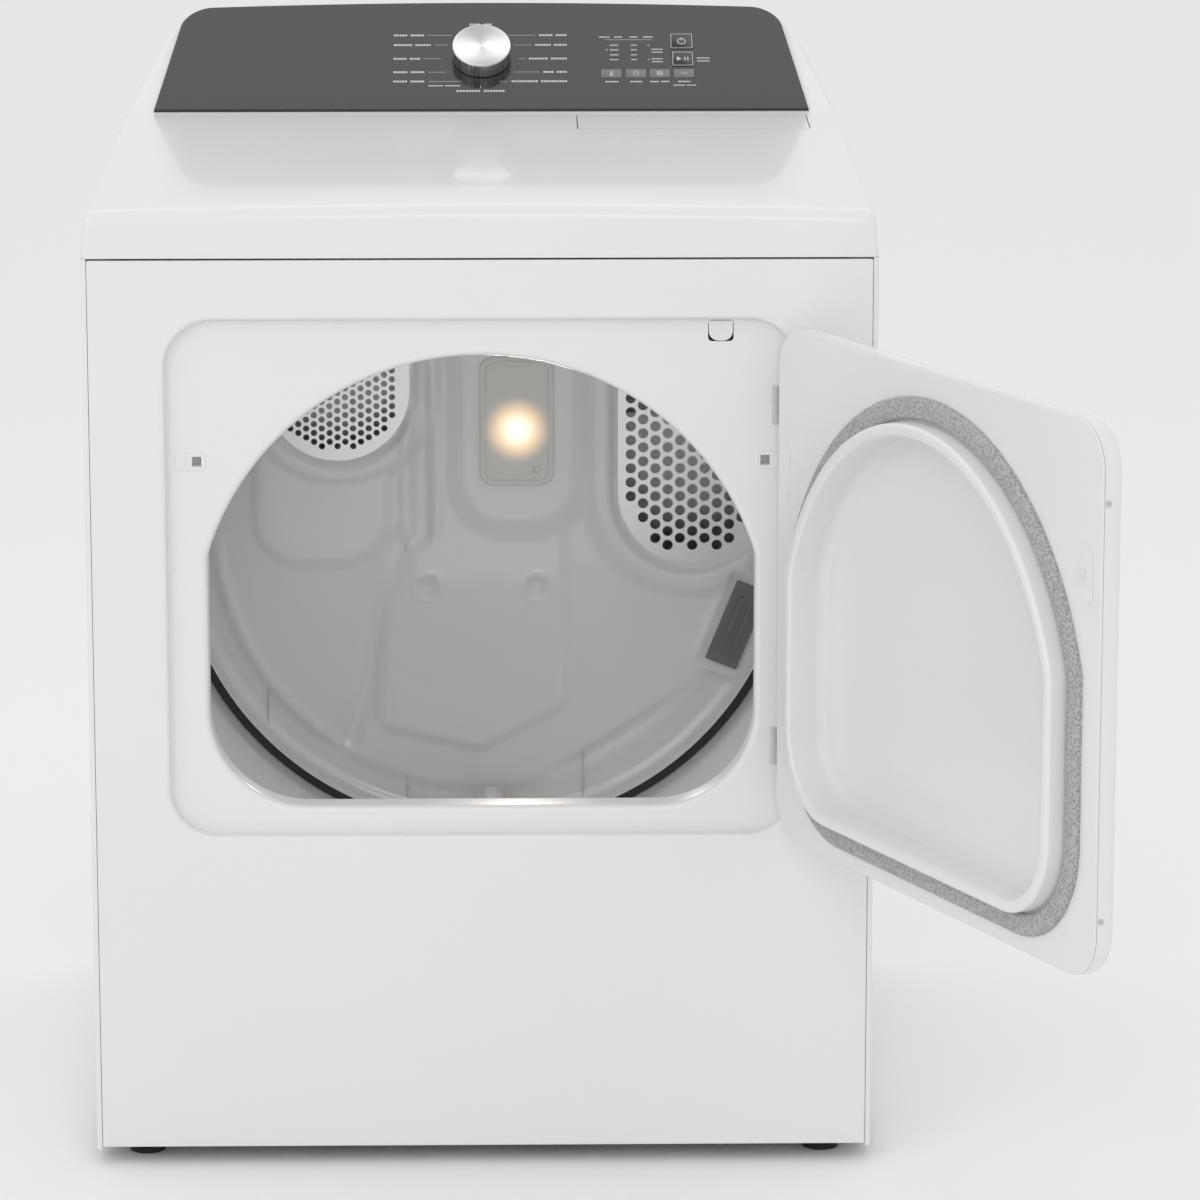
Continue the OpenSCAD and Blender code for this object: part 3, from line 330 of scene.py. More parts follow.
def addOpening(name, grow, d, segments=128):
    # the door opening's outline, grown all round, facing the front
    leaveEdit()
    bpy.ops.mesh.primitive_circle_add(vertices=segments, radius=(opening["r"] + grow) * mm, fill_type="NGON",
                                      location=at(0, d, opening["z"]), rotation=(math.pi / 2, 0, 0))
    obj = settle(bpy.context.object)
    obj.name = name
    side = opening["halfW"] + grow
    low = opening["low"] - grow
    for vert in obj.data.vertices:
        if vert.co.z < (opening["z"] - 1) * mm:
            vert.co.z = low * mm
    for where, way in ((at(side, d, 0), (1, 0, 0)), (at(-side, d, 0), (-1, 0, 0))):
        edit(obj, everything=True)
        bpy.ops.mesh.bisect(plane_co=where, plane_no=way, clear_outer=True, clear_inner=False)
    edit(obj)
    choose(obj, verts=lambda v: near(v.co.z, low * mm) and abs(v.co.x) < (side - 0.01) * mm)
    bpy.ops.mesh.dissolve_verts()
    choose(obj, verts=lambda v: near(v.co.z, low * mm))
    bpy.ops.mesh.bevel(offset=(opening["corner"] + grow) * mm, segments=20, affect="VERTICES")
    edit(obj, "VERT", True)
    bpy.ops.mesh.remove_doubles(threshold=opening["merge"] * mm)
    edit(obj, "FACE", True)
    mesh = bmesh.from_edit_mesh(obj.data)
    for face in mesh.faces:
        if face.normal.y > 0:
            face.normal_flip()
    bmesh.update_edit_mesh(obj.data)
    return obj


def quarter(r, steps=5):
    # how far each step of a quarter turn of radius r goes on, and how far aside
    turns = [math.pi / 2 * k / steps for k in range(steps + 1)]
    return [(r * (math.sin(b) - math.sin(a)), r * (math.cos(a) - math.cos(b)))
            for a, b in zip(turns, turns[1:])]


def overEdge(r, steps=5):
    # from a face, round its edge and down
    return [(s, -c) for s, c in quarter(r, steps)]


def upEdge(r, steps=5):
    # from a wall, round its edge and in over the top
    return [(c, s) for s, c in quarter(r, steps)]


def intoFloor(r, steps=4):
    # from a falling wall, round into the floor
    return [(c, -s) for s, c in quarter(r, steps)]


def fromFloor(r, steps=4):
    # from a floor, round up into a rising wall
    return [(s, c) for s, c in quarter(r, steps)]


def insetSteps(steps):
    # the selected face goes in and out along its normal, in millimetres
    for thickness, depth in steps:
        bpy.ops.mesh.inset(thickness=max(thickness, 0) * mm, depth=depth * mm, use_even_offset=True)


def openLast():
    bpy.ops.mesh.delete(type="ONLY_FACE")


def fillAt(obj, test, way=(0, -1, 0)):
    # closes the flat area between the open edges that the test accepts
    edit(obj, "EDGE")
    choose(obj, edges=lambda e: len(e.link_faces) < 2 and all(test(v.co) for v in e.verts))
    bpy.ops.mesh.fill(use_beauty=True)
    mesh = bmesh.from_edit_mesh(obj.data)
    for face in mesh.faces:
        if face.select and face.normal.dot(Vector(way)) < 0:
            face.normal_flip()
    bmesh.update_edit_mesh(obj.data)
    leaveEdit()


def change(obj, kind, **settings):
    # adds a modifier and applies it
    pick(obj)
    modifier = obj.modifiers.new(kind.lower(), kind)
    for key, value in settings.items():
        setattr(modifier, key, value)
    bpy.ops.object.modifier_apply(modifier=modifier.name)


def finishPiece(obj, body, nodes, slot, angle=40, paint=None):
    # shading, material and the frame's facts
    pick(obj)
    bpy.ops.object.shade_smooth_by_angle(angle=math.radians(angle))
    obj.data.materials.clear()
    obj.data.materials.append((paint or finish[slot]).material)
    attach(obj, body)
    if nodes:
        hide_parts(*nodes)


def near(value, target, slack=1e-5):
    return abs(value - target) < slack


# front panel

panel = {"edge": 1.2, "recessEdge": 4, "recessFloor": 1.2, "lip": 6, "lipEnd": 39.5, "sheet": 0.8,
         "rim": 0.6, "leverGap": 0.7, "catchLap": 1, "catchHalfH": 7, "holeDepth": 3}
lever = {"x": 222.75, "w": 22.5, "low": 776.7, "high": 796.2, "r": 9, "pin": 793.9, "pinR": 1.5,
         "pinLength": 28, "pinD": 14, "d": 12.2, "thick": 1.4, "edge": 0.8}
catch = {"x": 270.5, "z": 664, "w": 29, "h": 16.4, "mouthX": 264.5, "mouthHalfW": 4.6, "mouthHalfH": 5,
         "mouthDepth": 14, "screwX": 5.5, "screwR": 2.6, "box": 16.5, "boxD": 28, "boxGap": 1.6}

rim = addPlate("rim", -cabinet["frontW"], cabinet["frontW"], cabinet["low"], cabinet["high"],
               cabinet["seam"], 2, 6)
insetSteps([(0, cabinet["seam"] - panel["edge"])] + upEdge(panel["edge"], 4) + [(panel["rim"], 0)])
openLast()
outer = recess["halfW"] + panel["recessEdge"] + panel["rim"]
grown = panel["recessEdge"] + panel["rim"]
hollow = addPlate("hollow", -outer, outer, recess["low"] - grown, recess["high"] + grown, 0,
                  recess["r"] + grown, 16)
insetSteps([(panel["rim"], 0)] + overEdge(panel["recessEdge"], 6)
           + [(0, -(recess["depth"] - panel["recessEdge"] - panel["recessFloor"]))]
           + intoFloor(panel["recessFloor"], 3) + [(panel["rim"], 0)])
openLast()
mouth = addOpening("mouth", panel["lip"] + panel["rim"], recess["depth"])
insetSteps([(panel["rim"], 0)] + overEdge(panel["lip"], 8)
           + [(0, -(panel["lipEnd"] - recess["depth"] - panel["lip"]))])
openLast()
holes = []
leverHalf = lever["w"] / 2 + panel["leverGap"]
catchHalf = catch["w"] / 2 - panel["catchLap"]
for x, half, low, high, r in (
        (lever["x"], leverHalf, lever["low"] - panel["leverGap"], lever["high"], 4),
        (-catch["x"], catchHalf, catch["z"] - panel["catchHalfH"], catch["z"] + panel["catchHalfH"], 2),
        (catch["x"], catchHalf, catch["z"] - panel["catchHalfH"], catch["z"] + panel["catchHalfH"], 2)):
    hole = addPlate("hole", x - half, x + half, low, high, recess["depth"], r, 6)
    insetSteps([(0.1, 0), (0, -panel["holeDepth"])])
    openLast()
    holes.append(hole)
frontPanel = join("frontPanel", [rim, hollow, mouth] + holes)
fillAt(frontPanel, lambda co: near(co.y, front))
fillAt(frontPanel, lambda co: near(co.y, front + recess["depth"] * mm))
change(frontPanel, "SOLIDIFY", thickness=panel["sheet"] * mm, offset=-1)
finishPiece(frontPanel, "cabinet", ["front_panel"], "white_enamel", 30)
print("front panel built")


# top

topPanel = {"frontZ": 900, "deckZ": 918, "lean": 6, "edge": 13, "side": 7, "crown": 6, "crownFrom": 60,
            "crownTo": 420, "slopeFrom": 14, "gap": 0.3, "sheet": 0.9, "rearEdge": 0.4, "upright": 0.45}
consoleAt = {"d": 571, "z": 922, "slope": 39, "length": 153, "halfLow": 333.5, "halfHigh": 305, "corner": 27,
             "plate": 3, "arch": 7.5, "holeDepth": 2.6, "keyGap": 0.05, "shaftHoleR": 5, "knobY": 75}
slotCut = {"x0": 96, "x1": 330, "d0": 471, "d1": 561, "depth": 5}


def smooth(value, low, high):
    t = min(max((value - low) / (high - low), 0), 1)
    return t * t * (3 - 2 * t)


def crownAt(x, d):
    # how far the top is lifted at the middle of its front edge
    across = 1 - (x / cabinet["halfW"]) ** 2
    return topPanel["crown"] * across * (1 - smooth(d, topPanel["crownFrom"], topPanel["crownTo"]))


def topAt(d):
    # the deck climbs from the front edge to the console
    length = consoleAt["d"] - topPanel["slopeFrom"]
    run = min(max(d - topPanel["slopeFrom"], 0), length) / length
    return topPanel["frontZ"] + (topPanel["deckZ"] - topPanel["frontZ"]) * run


leaveEdit()
bpy.ops.mesh.primitive_cube_add(size=1, location=at(0, cabinet["depth"] / 2, 900))
topObj = bpy.context.object
topObj.scale = (2 * cabinet["halfW"] * mm, cabinet["depth"] * mm, 0.02)
settle(topObj)
edit(topObj)
bpy.ops.mesh.select_all(action="SELECT")
bpy.ops.mesh.bisect(plane_co=at(0, consoleAt["d"], 0), plane_no=(0, 1, 0))
mesh = bmesh.from_edit_mesh(topObj.data)
for vert in mesh.verts:
    d = (vert.co.y - front) / mm
    side = 1 if vert.co.x > 0 else -1
    if vert.co.z > 0.9:
        z = topAt(d)
        lean = topPanel["lean"] * (z - cabinet["height"]) / (topPanel["deckZ"] - cabinet["height"])
        vert.co = at(side * (cabinet["halfW"] - lean), d, z)
    else:
        vert.co = at(side * cabinet["halfW"], d, cabinet["height"] + topPanel["gap"])
bmesh.update_edit_mesh(topObj.data)
choose(topObj, faces=lambda f: f.normal.z < -0.9)
bpy.ops.mesh.delete(type="FACE")
leaveEdit()
weights = topObj.data.attributes.new("bevel_weight_edge", "FLOAT", "EDGE")
for edge in topObj.data.edges:
    a, b = (topObj.data.vertices[v].co for v in edge.vertices)
    high = min(a.z, b.z) > 0.89
    if high and near(a.y, b.y) and near(a.y, front):
        weights.data[edge.index].value = 1.0
    elif high and near(a.y, b.y) and a.y > 0.3:
        weights.data[edge.index].value = topPanel["rearEdge"]
    elif high and abs(a.x) > 0.3 and abs(b.x) > 0.3 and a.x * b.x > 0:
        weights.data[edge.index].value = topPanel["side"] / topPanel["edge"]
    elif abs(a.z - b.z) > 0.02:
        weights.data[edge.index].value = topPanel["upright"]
change(topObj, "BEVEL", width=topPanel["edge"] * mm, segments=8, limit_method="WEIGHT")
for plane, way in ([(at(x, 0, 0), (1, 0, 0)) for x in range(-340, 341, 20)]
                   + [(at(0, d, 0), (0, 1, 0)) for d in range(60, 440, 40)]
                   + [(at(slotCut[k], 0, 0), (1, 0, 0)) for k in ("x0", "x1")]
                   + [(at(0, slotCut[k], 0), (0, 1, 0)) for k in ("d0", "d1")]):
    edit(topObj, everything=True)
    bpy.ops.mesh.bisect(plane_co=plane, plane_no=way)
edit(topObj)
mesh = bmesh.from_edit_mesh(topObj.data)
for vert in mesh.verts:
    x, d = vert.co.x / mm, (vert.co.y - front) / mm
    vert.co.z += crownAt(x, d) * mm * smooth(vert.co.z / mm, cabinet["height"], topPanel["frontZ"])
bmesh.update_edit_mesh(topObj.data)


def inSlot(face):
    c = face.calc_center_median()
    return (c.z > 0.9 and slotCut["x0"] * mm < c.x < slotCut["x1"] * mm
            and slotCut["d0"] * mm < c.y - front < slotCut["d1"] * mm)


choose(topObj, faces=inSlot)
bpy.ops.mesh.delete(type="FACE")
edit(topObj, "EDGE")
choose(topObj, edges=lambda e: len(e.link_faces) == 1 and min(v.co.z for v in e.verts) > 0.9)
bpy.ops.mesh.extrude_region_move(TRANSFORM_OT_translate={"value": (0, 0, -slotCut["depth"] * mm)})
leaveEdit()
change(topObj, "SOLIDIFY", thickness=topPanel["sheet"] * mm, offset=-1)
topObj.name = "topPanel"
finishPiece(topObj, "cabinet", ["top_panel"], "white_enamel", 35)
print("top built")


# console

console = Matrix.Translation(at(0, consoleAt["d"], consoleAt["z"])) @ Matrix.Rotation(
    math.radians(consoleAt["slope"]), 4, "X")


def onConsole(obj):
    # from the flat, x across and y up the slope, to the console's face
    leaveEdit()
    obj.matrix_world = console @ obj.matrix_world
    return settle(obj)


def archAt(x, y):
    return -consoleAt["arch"] * (x / consoleAt["halfHigh"]) ** 2 * smooth(y, 40, consoleAt["length"])


def addFlat(name, x0, x1, y0, y1, n=0, r=0, segments=5):
    # a rounded rectangle lying on the console's face before it is tilted
    leaveEdit()
    bpy.ops.mesh.primitive_plane_add(size=1, location=((x0 + x1) / 2 * mm, (y0 + y1) / 2 * mm, n * mm))
    obj = bpy.context.object
    obj.name = name
    obj.scale = ((x1 - x0) * mm, (y1 - y0) * mm, 1)
    settle(obj)
    if r:
        edit(obj, everything=True)
        bpy.ops.mesh.bevel(offset=r * mm, segments=segments, affect="VERTICES")
    edit(obj, "FACE", True)
    return obj


def archedFace(name, low, high, length, corner, n):
    # a face wide at the foot and narrow at the top, whose top edge is arched
    obj = addFlat(name, -low, low, 0, length, n)
    mesh = bmesh.from_edit_mesh(obj.data)
    for vert in mesh.verts:
        if vert.co.y > length * mm / 2:
            vert.co.x *= high / low
    bmesh.update_edit_mesh(obj.data)
    edit(obj)
    choose(obj, verts=lambda v: v.co.y > length * mm / 2)
    bpy.ops.mesh.bevel(offset=corner * mm, segments=12, affect="VERTICES")
    edit(obj, "EDGE")
    choose(obj, edges=lambda e: all(near(v.co.y, length * mm) for v in e.verts))
    bpy.ops.mesh.subdivide(number_cuts=31)
    mesh = bmesh.from_edit_mesh(obj.data)
    for vert in mesh.verts:
        vert.co.y += archAt(vert.co.x / mm, vert.co.y / mm) * mm
    bmesh.update_edit_mesh(obj.data)
    edit(obj, "FACE", True)
    return obj


plateStart = -consoleAt["plate"]
fascia = archedFace("fascia", consoleAt["halfLow"], consoleAt["halfHigh"], consoleAt["length"],
                    consoleAt["corner"], plateStart)
insetSteps([(0, consoleAt["plate"] - 1)] + upEdge(1, 4) + [(0.4, 0)])
openLast()
keys = {  # each key's middle, width and height on the face
    "power_button": (205.6, 96, 24.2, 22.9), "start_button": (206.5, 70.7, 23, 21.4),
    "temperature_button": (132.85, 50, 22.3, 12.7), "time_button": (158.1, 50, 22.3, 12.7),
    "options_button": (182.4, 50, 22.3, 12.7), "more_button": (207.3, 50, 22.3, 12.7)}
keyHoles = []
for x, y, w, h in keys.values():
    hole = addFlat("keyHole", x - w / 2, x + w / 2, y - h / 2, y + h / 2, 0, 0.8, 3)
    insetSteps([(consoleAt["keyGap"], 0), (0, -consoleAt["holeDepth"])])
    openLast()
    keyHoles.append(hole)
leaveEdit()
bpy.ops.mesh.primitive_circle_add(vertices=48, radius=consoleAt["shaftHoleR"] * mm, fill_type="NGON",
                                  location=(0, consoleAt["knobY"] * mm, 0))
shaftHole = settle(bpy.context.object)
edit(shaftHole, "FACE", True)
insetSteps([(consoleAt["keyGap"], 0), (0, -consoleAt["holeDepth"])])
openLast()
fascia = join("consoleFascia", [fascia, shaftHole] + keyHoles)
fillAt(fascia, lambda co: near(co.z, 0, 1e-6), (0, 0, 1))
onConsole(fascia)
finishPiece(fascia, "cabinet", ["console_fascia"], "black_gloss", 30)

# the white shell behind it
shell = {"halfLow": 362.5, "halfHigh": 312, "corner": 30, "edge": 9, "back": 3, "foot": 1, "below": 2.4,
         "reach": 200, "archFrom": 930, "archShare": 0.63}
brow = consoleAt["z"] + consoleAt["length"] * math.sin(math.radians(consoleAt["slope"])) - shell["below"]
shellFoot = topPanel["deckZ"] - shell["foot"]
leaveEdit()
bpy.ops.mesh.primitive_plane_add(size=1, location=at(0, cabinet["depth"], (shellFoot + brow) / 2),
                                 rotation=(math.pi / 2, 0, 0))
shellObj = bpy.context.object
shellObj.scale = (2 * shell["halfLow"] * mm, (brow - shellFoot) * mm, 1)
settle(shellObj)
edit(shellObj)
mesh = bmesh.from_edit_mesh(shellObj.data)
for vert in mesh.verts:
    if vert.co.z > 0.95:
        vert.co.x *= shell["halfHigh"] / shell["halfLow"]
bmesh.update_edit_mesh(shellObj.data)
choose(shellObj, verts=lambda v: v.co.z > 0.95)
bpy.ops.mesh.bevel(offset=shell["corner"] * mm, segments=12, affect="VERTICES")
edit(shellObj, "EDGE")
choose(shellObj, edges=lambda e: all(near(v.co.z, brow * mm) for v in e.verts))
bpy.ops.mesh.subdivide(number_cuts=31)
edit(shellObj, "FACE", True)
bpy.ops.mesh.extrude_region_move(TRANSFORM_OT_translate={"value": (0, -shell["reach"] * mm, 0)})
edit(shellObj, everything=True)
slopeStart = console @ Vector((0, 0, -consoleAt["plate"] * mm))
slopeWay = console.to_3x3() @ Vector((0, 0, 1))
bpy.ops.mesh.bisect(plane_co=slopeStart, plane_no=slopeWay, clear_outer=True, use_fill=True)
bpy.ops.mesh.select_all(action="SELECT")
bpy.ops.mesh.normals_make_consistent(inside=False)
leaveEdit()
weights = shellObj.data.attributes.new("bevel_weight_edge", "FLOAT", "EDGE")
inverse = console.inverted()
for edge in shellObj.data.edges:
    a, b = (inverse @ shellObj.data.vertices[v].co for v in edge.vertices)
    p, q = (shellObj.data.vertices[v].co for v in edge.vertices)
    onSlope = near(a.z, plateStart * mm, 1e-4) and near(b.z, plateStart * mm, 1e-4)
    atFoot = p.z < (topPanel["deckZ"] + 0.5) * mm and q.z < (topPanel["deckZ"] + 0.5) * mm
    if onSlope and not (near(a.y, b.y, 1e-4) and a.y < 0.02):
        weights.data[edge.index].value = 1.0
    elif near(p.y, q.y, 1e-4) and p.y > 0.34 and not atFoot:
        weights.data[edge.index].value = shell["back"] / shell["edge"]
change(shellObj, "BEVEL", width=shell["edge"] * mm, segments=6, limit_method="WEIGHT", use_clamp_overlap=True)
edit(shellObj)
mesh = bmesh.from_edit_mesh(shellObj.data)
for vert in mesh.verts:
    x = vert.co.x / mm
    climb = consoleAt["length"] * smooth(vert.co.z / mm, shell["archFrom"], brow)
    vert.co.z += archAt(x, climb) * shell["archShare"] * mm
bmesh.update_edit_mesh(shellObj.data)
leaveEdit()
shellObj.name = "consoleShell"
finishPiece(shellObj, "cabinet", ["console_shell"], "white_plastic", 35)
print("console built")


# knob and keys

knob = {"y": consoleAt["knobY"], "r": 30.25, "h": 17, "lift": 1, "edge": 1.6, "dish": 0.5, "taper": 0.6,
        "shaftR": 3, "shaftLength": 20, "shaftAt": -8.5, "shaftEdge": 0.4}
leaveEdit()
bpy.ops.mesh.primitive_circle_add(vertices=128, radius=(knob["r"] - knob["taper"]) * mm, fill_type="NGON",
                                  location=(0, knob["y"] * mm, knob["lift"] * mm))
knobObj = settle(bpy.context.object)
edit(knobObj, "FACE", True)
insetSteps([(0, 0.01)])
bpy.ops.transform.resize(value=(knob["r"] / (knob["r"] - knob["taper"]),) * 2 + (1,),
                         center_override=(0, knob["y"] * mm, 0))
insetSteps([(0.25, knob["h"] - knob["lift"] - knob["edge"])] + upEdge(knob["edge"], 6)
           + [(0.5, 0), (0.35, -0.25), (24, -knob["dish"] + 0.1), (1.5, -0.05)])
edit(knobObj, "EDGE")
choose(knobObj, edges=lambda e: len(e.link_faces) == 1)
bpy.ops.mesh.edge_face_add()
edit(knobObj, everything=True)
bpy.ops.mesh.normals_make_consistent(inside=False)
leaveEdit()
bpy.ops.mesh.primitive_cylinder_add(vertices=24, radius=knob["shaftR"] * mm, depth=knob["shaftLength"] * mm,
                                    location=(0, knob["y"] * mm, knob["shaftAt"] * mm))
shaftObj = settle(bpy.context.object)
edit(shaftObj, "EDGE")
choose(shaftObj, edges=lambda e: near(e.verts[0].co.z, e.verts[1].co.z))
bpy.ops.mesh.bevel(offset=knob["shaftEdge"] * mm, segments=2)
leaveEdit()
knobObj = join("knob", [knobObj, shaftObj])
onConsole(knobObj)

# turned metal: a painted highlight fanning across the top and painted reflection streaks down the side, both
# put into the base colour, over fine turning lines
knobPaint = Paint("knobMetal", (0.72, 0.72, 0.72), 0.32, metal=1.0)
centre = console @ Vector((0, knob["y"] * mm, 0))
local = knobPaint.moved(tuple(centre), (math.radians(consoleAt["slope"]), 0, 0))
kx, ky, kn = knobPaint.axes(local)
angle = Sock.sum(kx, "ARCTAN2", ky, kx)
reach = ((kx * kx) + (ky * ky)) ** 0.5
# painted highlight: the face's base colour brightens and darkens in a fan round the centre, standing in for
# the metal's reflections
paintedHighlightFan = (angle * 2 + 1.2).sine() * 0.5 + 0.5
fine = knobPaint.noise(1.0, 4, 0.7, knobPaint.node("ShaderNodeCombineXYZ", {}, {0: reach * 5200}))
# painted reflections: light and dark streaks in the side's base colour
paintedReflectionStreak = knobPaint.noise(1.0, 4, 0.6, knobPaint.node("ShaderNodeCombineXYZ", {}, {0: angle * 26, 1: kn * 40}))
onTop = kn.rise((knob["h"] - 1.2) * mm, (knob["h"] - 0.9) * mm)
faceHighlightAndGrain = paintedHighlightFan * 0.34 + fine * 0.12 + 0.46
sideReflectionTone = paintedReflectionStreak.rise(0.36, 0.64) * 0.62 + 0.24
# base colour: painted highlight fan with real turning grain on the face, painted reflection streaks on the
# side
tone = onTop * faceHighlightAndGrain + (1 - onTop) * sideReflectionTone
knobPaint.set("Base Color", knobPaint.mix(tone, (0.10, 0.10, 0.10), (0.98, 0.98, 0.98)))
knobPaint.set("Roughness", fine * 0.12 + 0.3)
knobPaint.bump(fine, 0.08, 0.0001)
finishPiece(knobObj, "knob", ["programme_knob"], "knob_metal", 40, knobPaint)

# print and signs, each a thin slab on the face
ink = {"thick": 0.06, "lift": 0.03, "corner": 0.25, "frameCorner": 0.6}
printPaint = coated("printWhite", (0.62, 0.62, 0.62), 0.5, 0.02, 0.0, 900)


def thicken(obj):
    edit(obj, "FACE", True)
    bpy.ops.mesh.extrude_region_move(TRANSFORM_OT_translate={"value": (0, 0, ink["thick"] * mm)})
    leaveEdit()
    return obj


def bar(x, y, w, h, n=ink["lift"], r=ink["corner"]):
    return thicken(addFlat("bar", x - w / 2, x + w / 2, y - h / 2, y + h / 2, n,
                           min(r, w / 2.2, h / 2.2), 2))


def disc(x, y, r, n, vertices, turn=0):
    leaveEdit()
    bpy.ops.mesh.primitive_circle_add(vertices=vertices, radius=r * mm, fill_type="NGON",
                                      location=(x * mm, y * mm, n * mm), rotation=(0, 0, turn))
    return settle(bpy.context.object)


def ring(x, y, r, thick, n=ink["lift"], vertices=32):
    obj = disc(x, y, r, n, vertices)
    edit(obj, "FACE", True)
    insetSteps([(thick, 0)])
    openLast()
    return thicken(obj)


def frameOf(x, y, w, h, thick, n):
    obj = addFlat("frame", x - w / 2, x + w / 2, y - h / 2, y + h / 2, n, ink["frameCorner"], 3)
    insetSteps([(thick, 0)])
    openLast()
    return thicken(obj)


def triangle(x, y, size, turn, n):
    return thicken(disc(x, y, size, n, 3, turn))


keyShape = {"rise": 0.8, "gap": 0.4, "soft": 0.4, "corner": 0.9, "back": -3.4, "flange": 0.8,
            "flangeBack": -5.3, "flangeT": 1.9, "pinR": 2, "pinLength": 9, "pinAt": -9.5, "signLift": 0.02}
icons = {
    "power_button": lambda x, y, n: [frameOf(x, y, 22.2, 20.6, 0.55, n), ring(x, y - 0.4, 4.3, 0.8, n),
                                     bar(x, y + 2.8, 0.9, 4.2, n)],
    "start_button": lambda x, y, n: [frameOf(x, y, 21, 19.2, 0.55, n),
                                     triangle(x - 4.4, y, 3.2, -math.pi / 2, n),
                                     bar(x + 2.2, y, 1.1, 5, n), bar(x + 5.2, y, 1.1, 5, n)],
    "temperature_button": lambda x, y, n: [bar(x, y + 0.7, 1.3, 4.6, n), ring(x, y - 2, 1.7, 0.9, n, 20)],
    "time_button": lambda x, y, n: [ring(x, y, 3.1, 0.5, n), bar(x, y + 0.9, 0.5, 2, n),
                                    bar(x + 0.8, y, 1.8, 0.5, n)],
    "options_button": lambda x, y, n: [bar(x, y + up, 6.4, 0.9, n) for up in (2, 0, -2)],
    "more_button": lambda x, y, n: [bar(x + along, y, 1.3, 1.3, n) for along in (-2.6, 0, 2.6)]}
for name, (x, y, w, h) in keys.items():
    capW, capH = w / 2 - keyShape["gap"], h / 2 - keyShape["gap"]
    cap = addFlat(name + "Cap", x - capW, x + capW, y - capH, y + capH, keyShape["back"],
                  keyShape["corner"], 3)
    insetSteps([(0, keyShape["rise"] - keyShape["back"] - keyShape["soft"])] + upEdge(keyShape["soft"], 3))
    stemW, stemH = w / 2 + keyShape["flange"], h / 2 + keyShape["flange"]
    stem = addFlat("stem", x - stemW, x + stemW, y - stemH, y + stemH, keyShape["flangeBack"], 0.8, 2)
    bpy.ops.mesh.extrude_region_move(TRANSFORM_OT_translate={"value": (0, 0, keyShape["flangeT"] * mm)})
    leaveEdit()
    bpy.ops.mesh.primitive_cylinder_add(vertices=20, radius=keyShape["pinR"] * mm,
                                        depth=keyShape["pinLength"] * mm,
                                        location=(x * mm, y * mm, keyShape["pinAt"] * mm))
    pin = settle(bpy.context.object)
    cap = join(name + "Cap", [cap, stem, pin])
    onConsole(cap)
    finishPiece(cap, name, [name], "black_gloss" if h > 15 else "key_grey", 30)
    sign = onConsole(join(name + "Sign", icons[name](x, y, keyShape["rise"] + keyShape["signLift"])))
    finishPiece(sign, name, [], "key_grey", 30, printPaint)
print("keys built")


# print on the console

printed = {  # left end, right end, height up the face, size
    "left": [(-90.6, -58.9, 105.4, 2.6), (-90.6, -52, 91.5, 2.6), (-90.6, -62.9, 71.9, 2.6),
             (-90.6, -58.3, 52.8, 2.6), (-90.6, -58.3, 39.6, 2.6)],
    "right": [(58.9, 87.7, 105.4, 2.6), (54.9, 87.7, 91.5, 2.6), (48.3, 87.7, 71.9, 2.6),
              (62.9, 87.7, 52.8, 2.6), (30.3, 87.7, 39.6, 2.6)],
    "middle": [(-26, 23.7, 26, 2.8), (-12.8, 11, 121, 2.6), (-54.4, -22, 33.4, 1.8)],
    "lights": [(121, 131.7, 102.5, 1.8), (136.6, 144.6, 102.5, 1.8), (152.5, 160.5, 102.5, 1.8),
               (166, 176.4, 102.5, 1.8)]
    + [(131.7, 140.7, y, 1.6) for y in (90.7, 84.1, 77, 70.1)]
    + [(153.4, 159.6, y, 1.6) for y in (90.7, 84.1, 77, 70.1)]
    + [(174.6, 186.2, y, 1.6) for y in (84.9, 80.8, 71.2, 67.1)] + [(221, 234, y, 1.7) for y in (72.2, 68)],
    "keys": [(126.4, 140.1, 38.8, 2), (152, 164.5, 38.8, 2), (172.4, 192.2, 38.8, 2), (201, 213.7, 38.8, 2),
             (196.2, 219.5, 33.6, 1.5)]}
leaders = [(-55.7, -29.7, 105.4), (-48.3, -34.5, 91.5), (-59.7, -41.4, 71.9), (-55, -36.4, 52.8),
           (-55, -20.2, 39.6), (27.4, 55.5, 105.4), (32.7, 51.4, 91.5), (38, 45.4, 71.9),
           (32.7, 59.2, 52.8), (17.9, 26.4, 39.6),
           (126.9, 175.3, 98.6)]
marks = [bar((x0 + x1) / 2, y, x1 - x0, 0.4) for x0, x1, y in leaders]
marks += [bar(-0.9, 31.6, 0.5, 4)]
marks += [ring(x, y, 0.9, 0.5, vertices=12) for x, y in ((171.4, 90.7), (171.4, 70.1), (128.6, 84.1))]
for group in printed.values():
    for x0, x1, y, size in group:
        letters = max(int((x1 - x0) / (size * 1.05)), 2)
        pitch = (x1 - x0) / letters
        for k in range(letters):
            if letters > 7 and k == letters // 2:
                continue               # the gap between two words
            marks.append(bar(x0 + pitch * (k + 0.5), y, pitch * 0.74, size * (0.92 if k % 3 else 1), r=0.2))
labels = onConsole(join("consolePrint", marks))
finishPiece(labels, "cabinet", [], "black_gloss", 30, printPaint)
print("print built")


# rear bulkhead

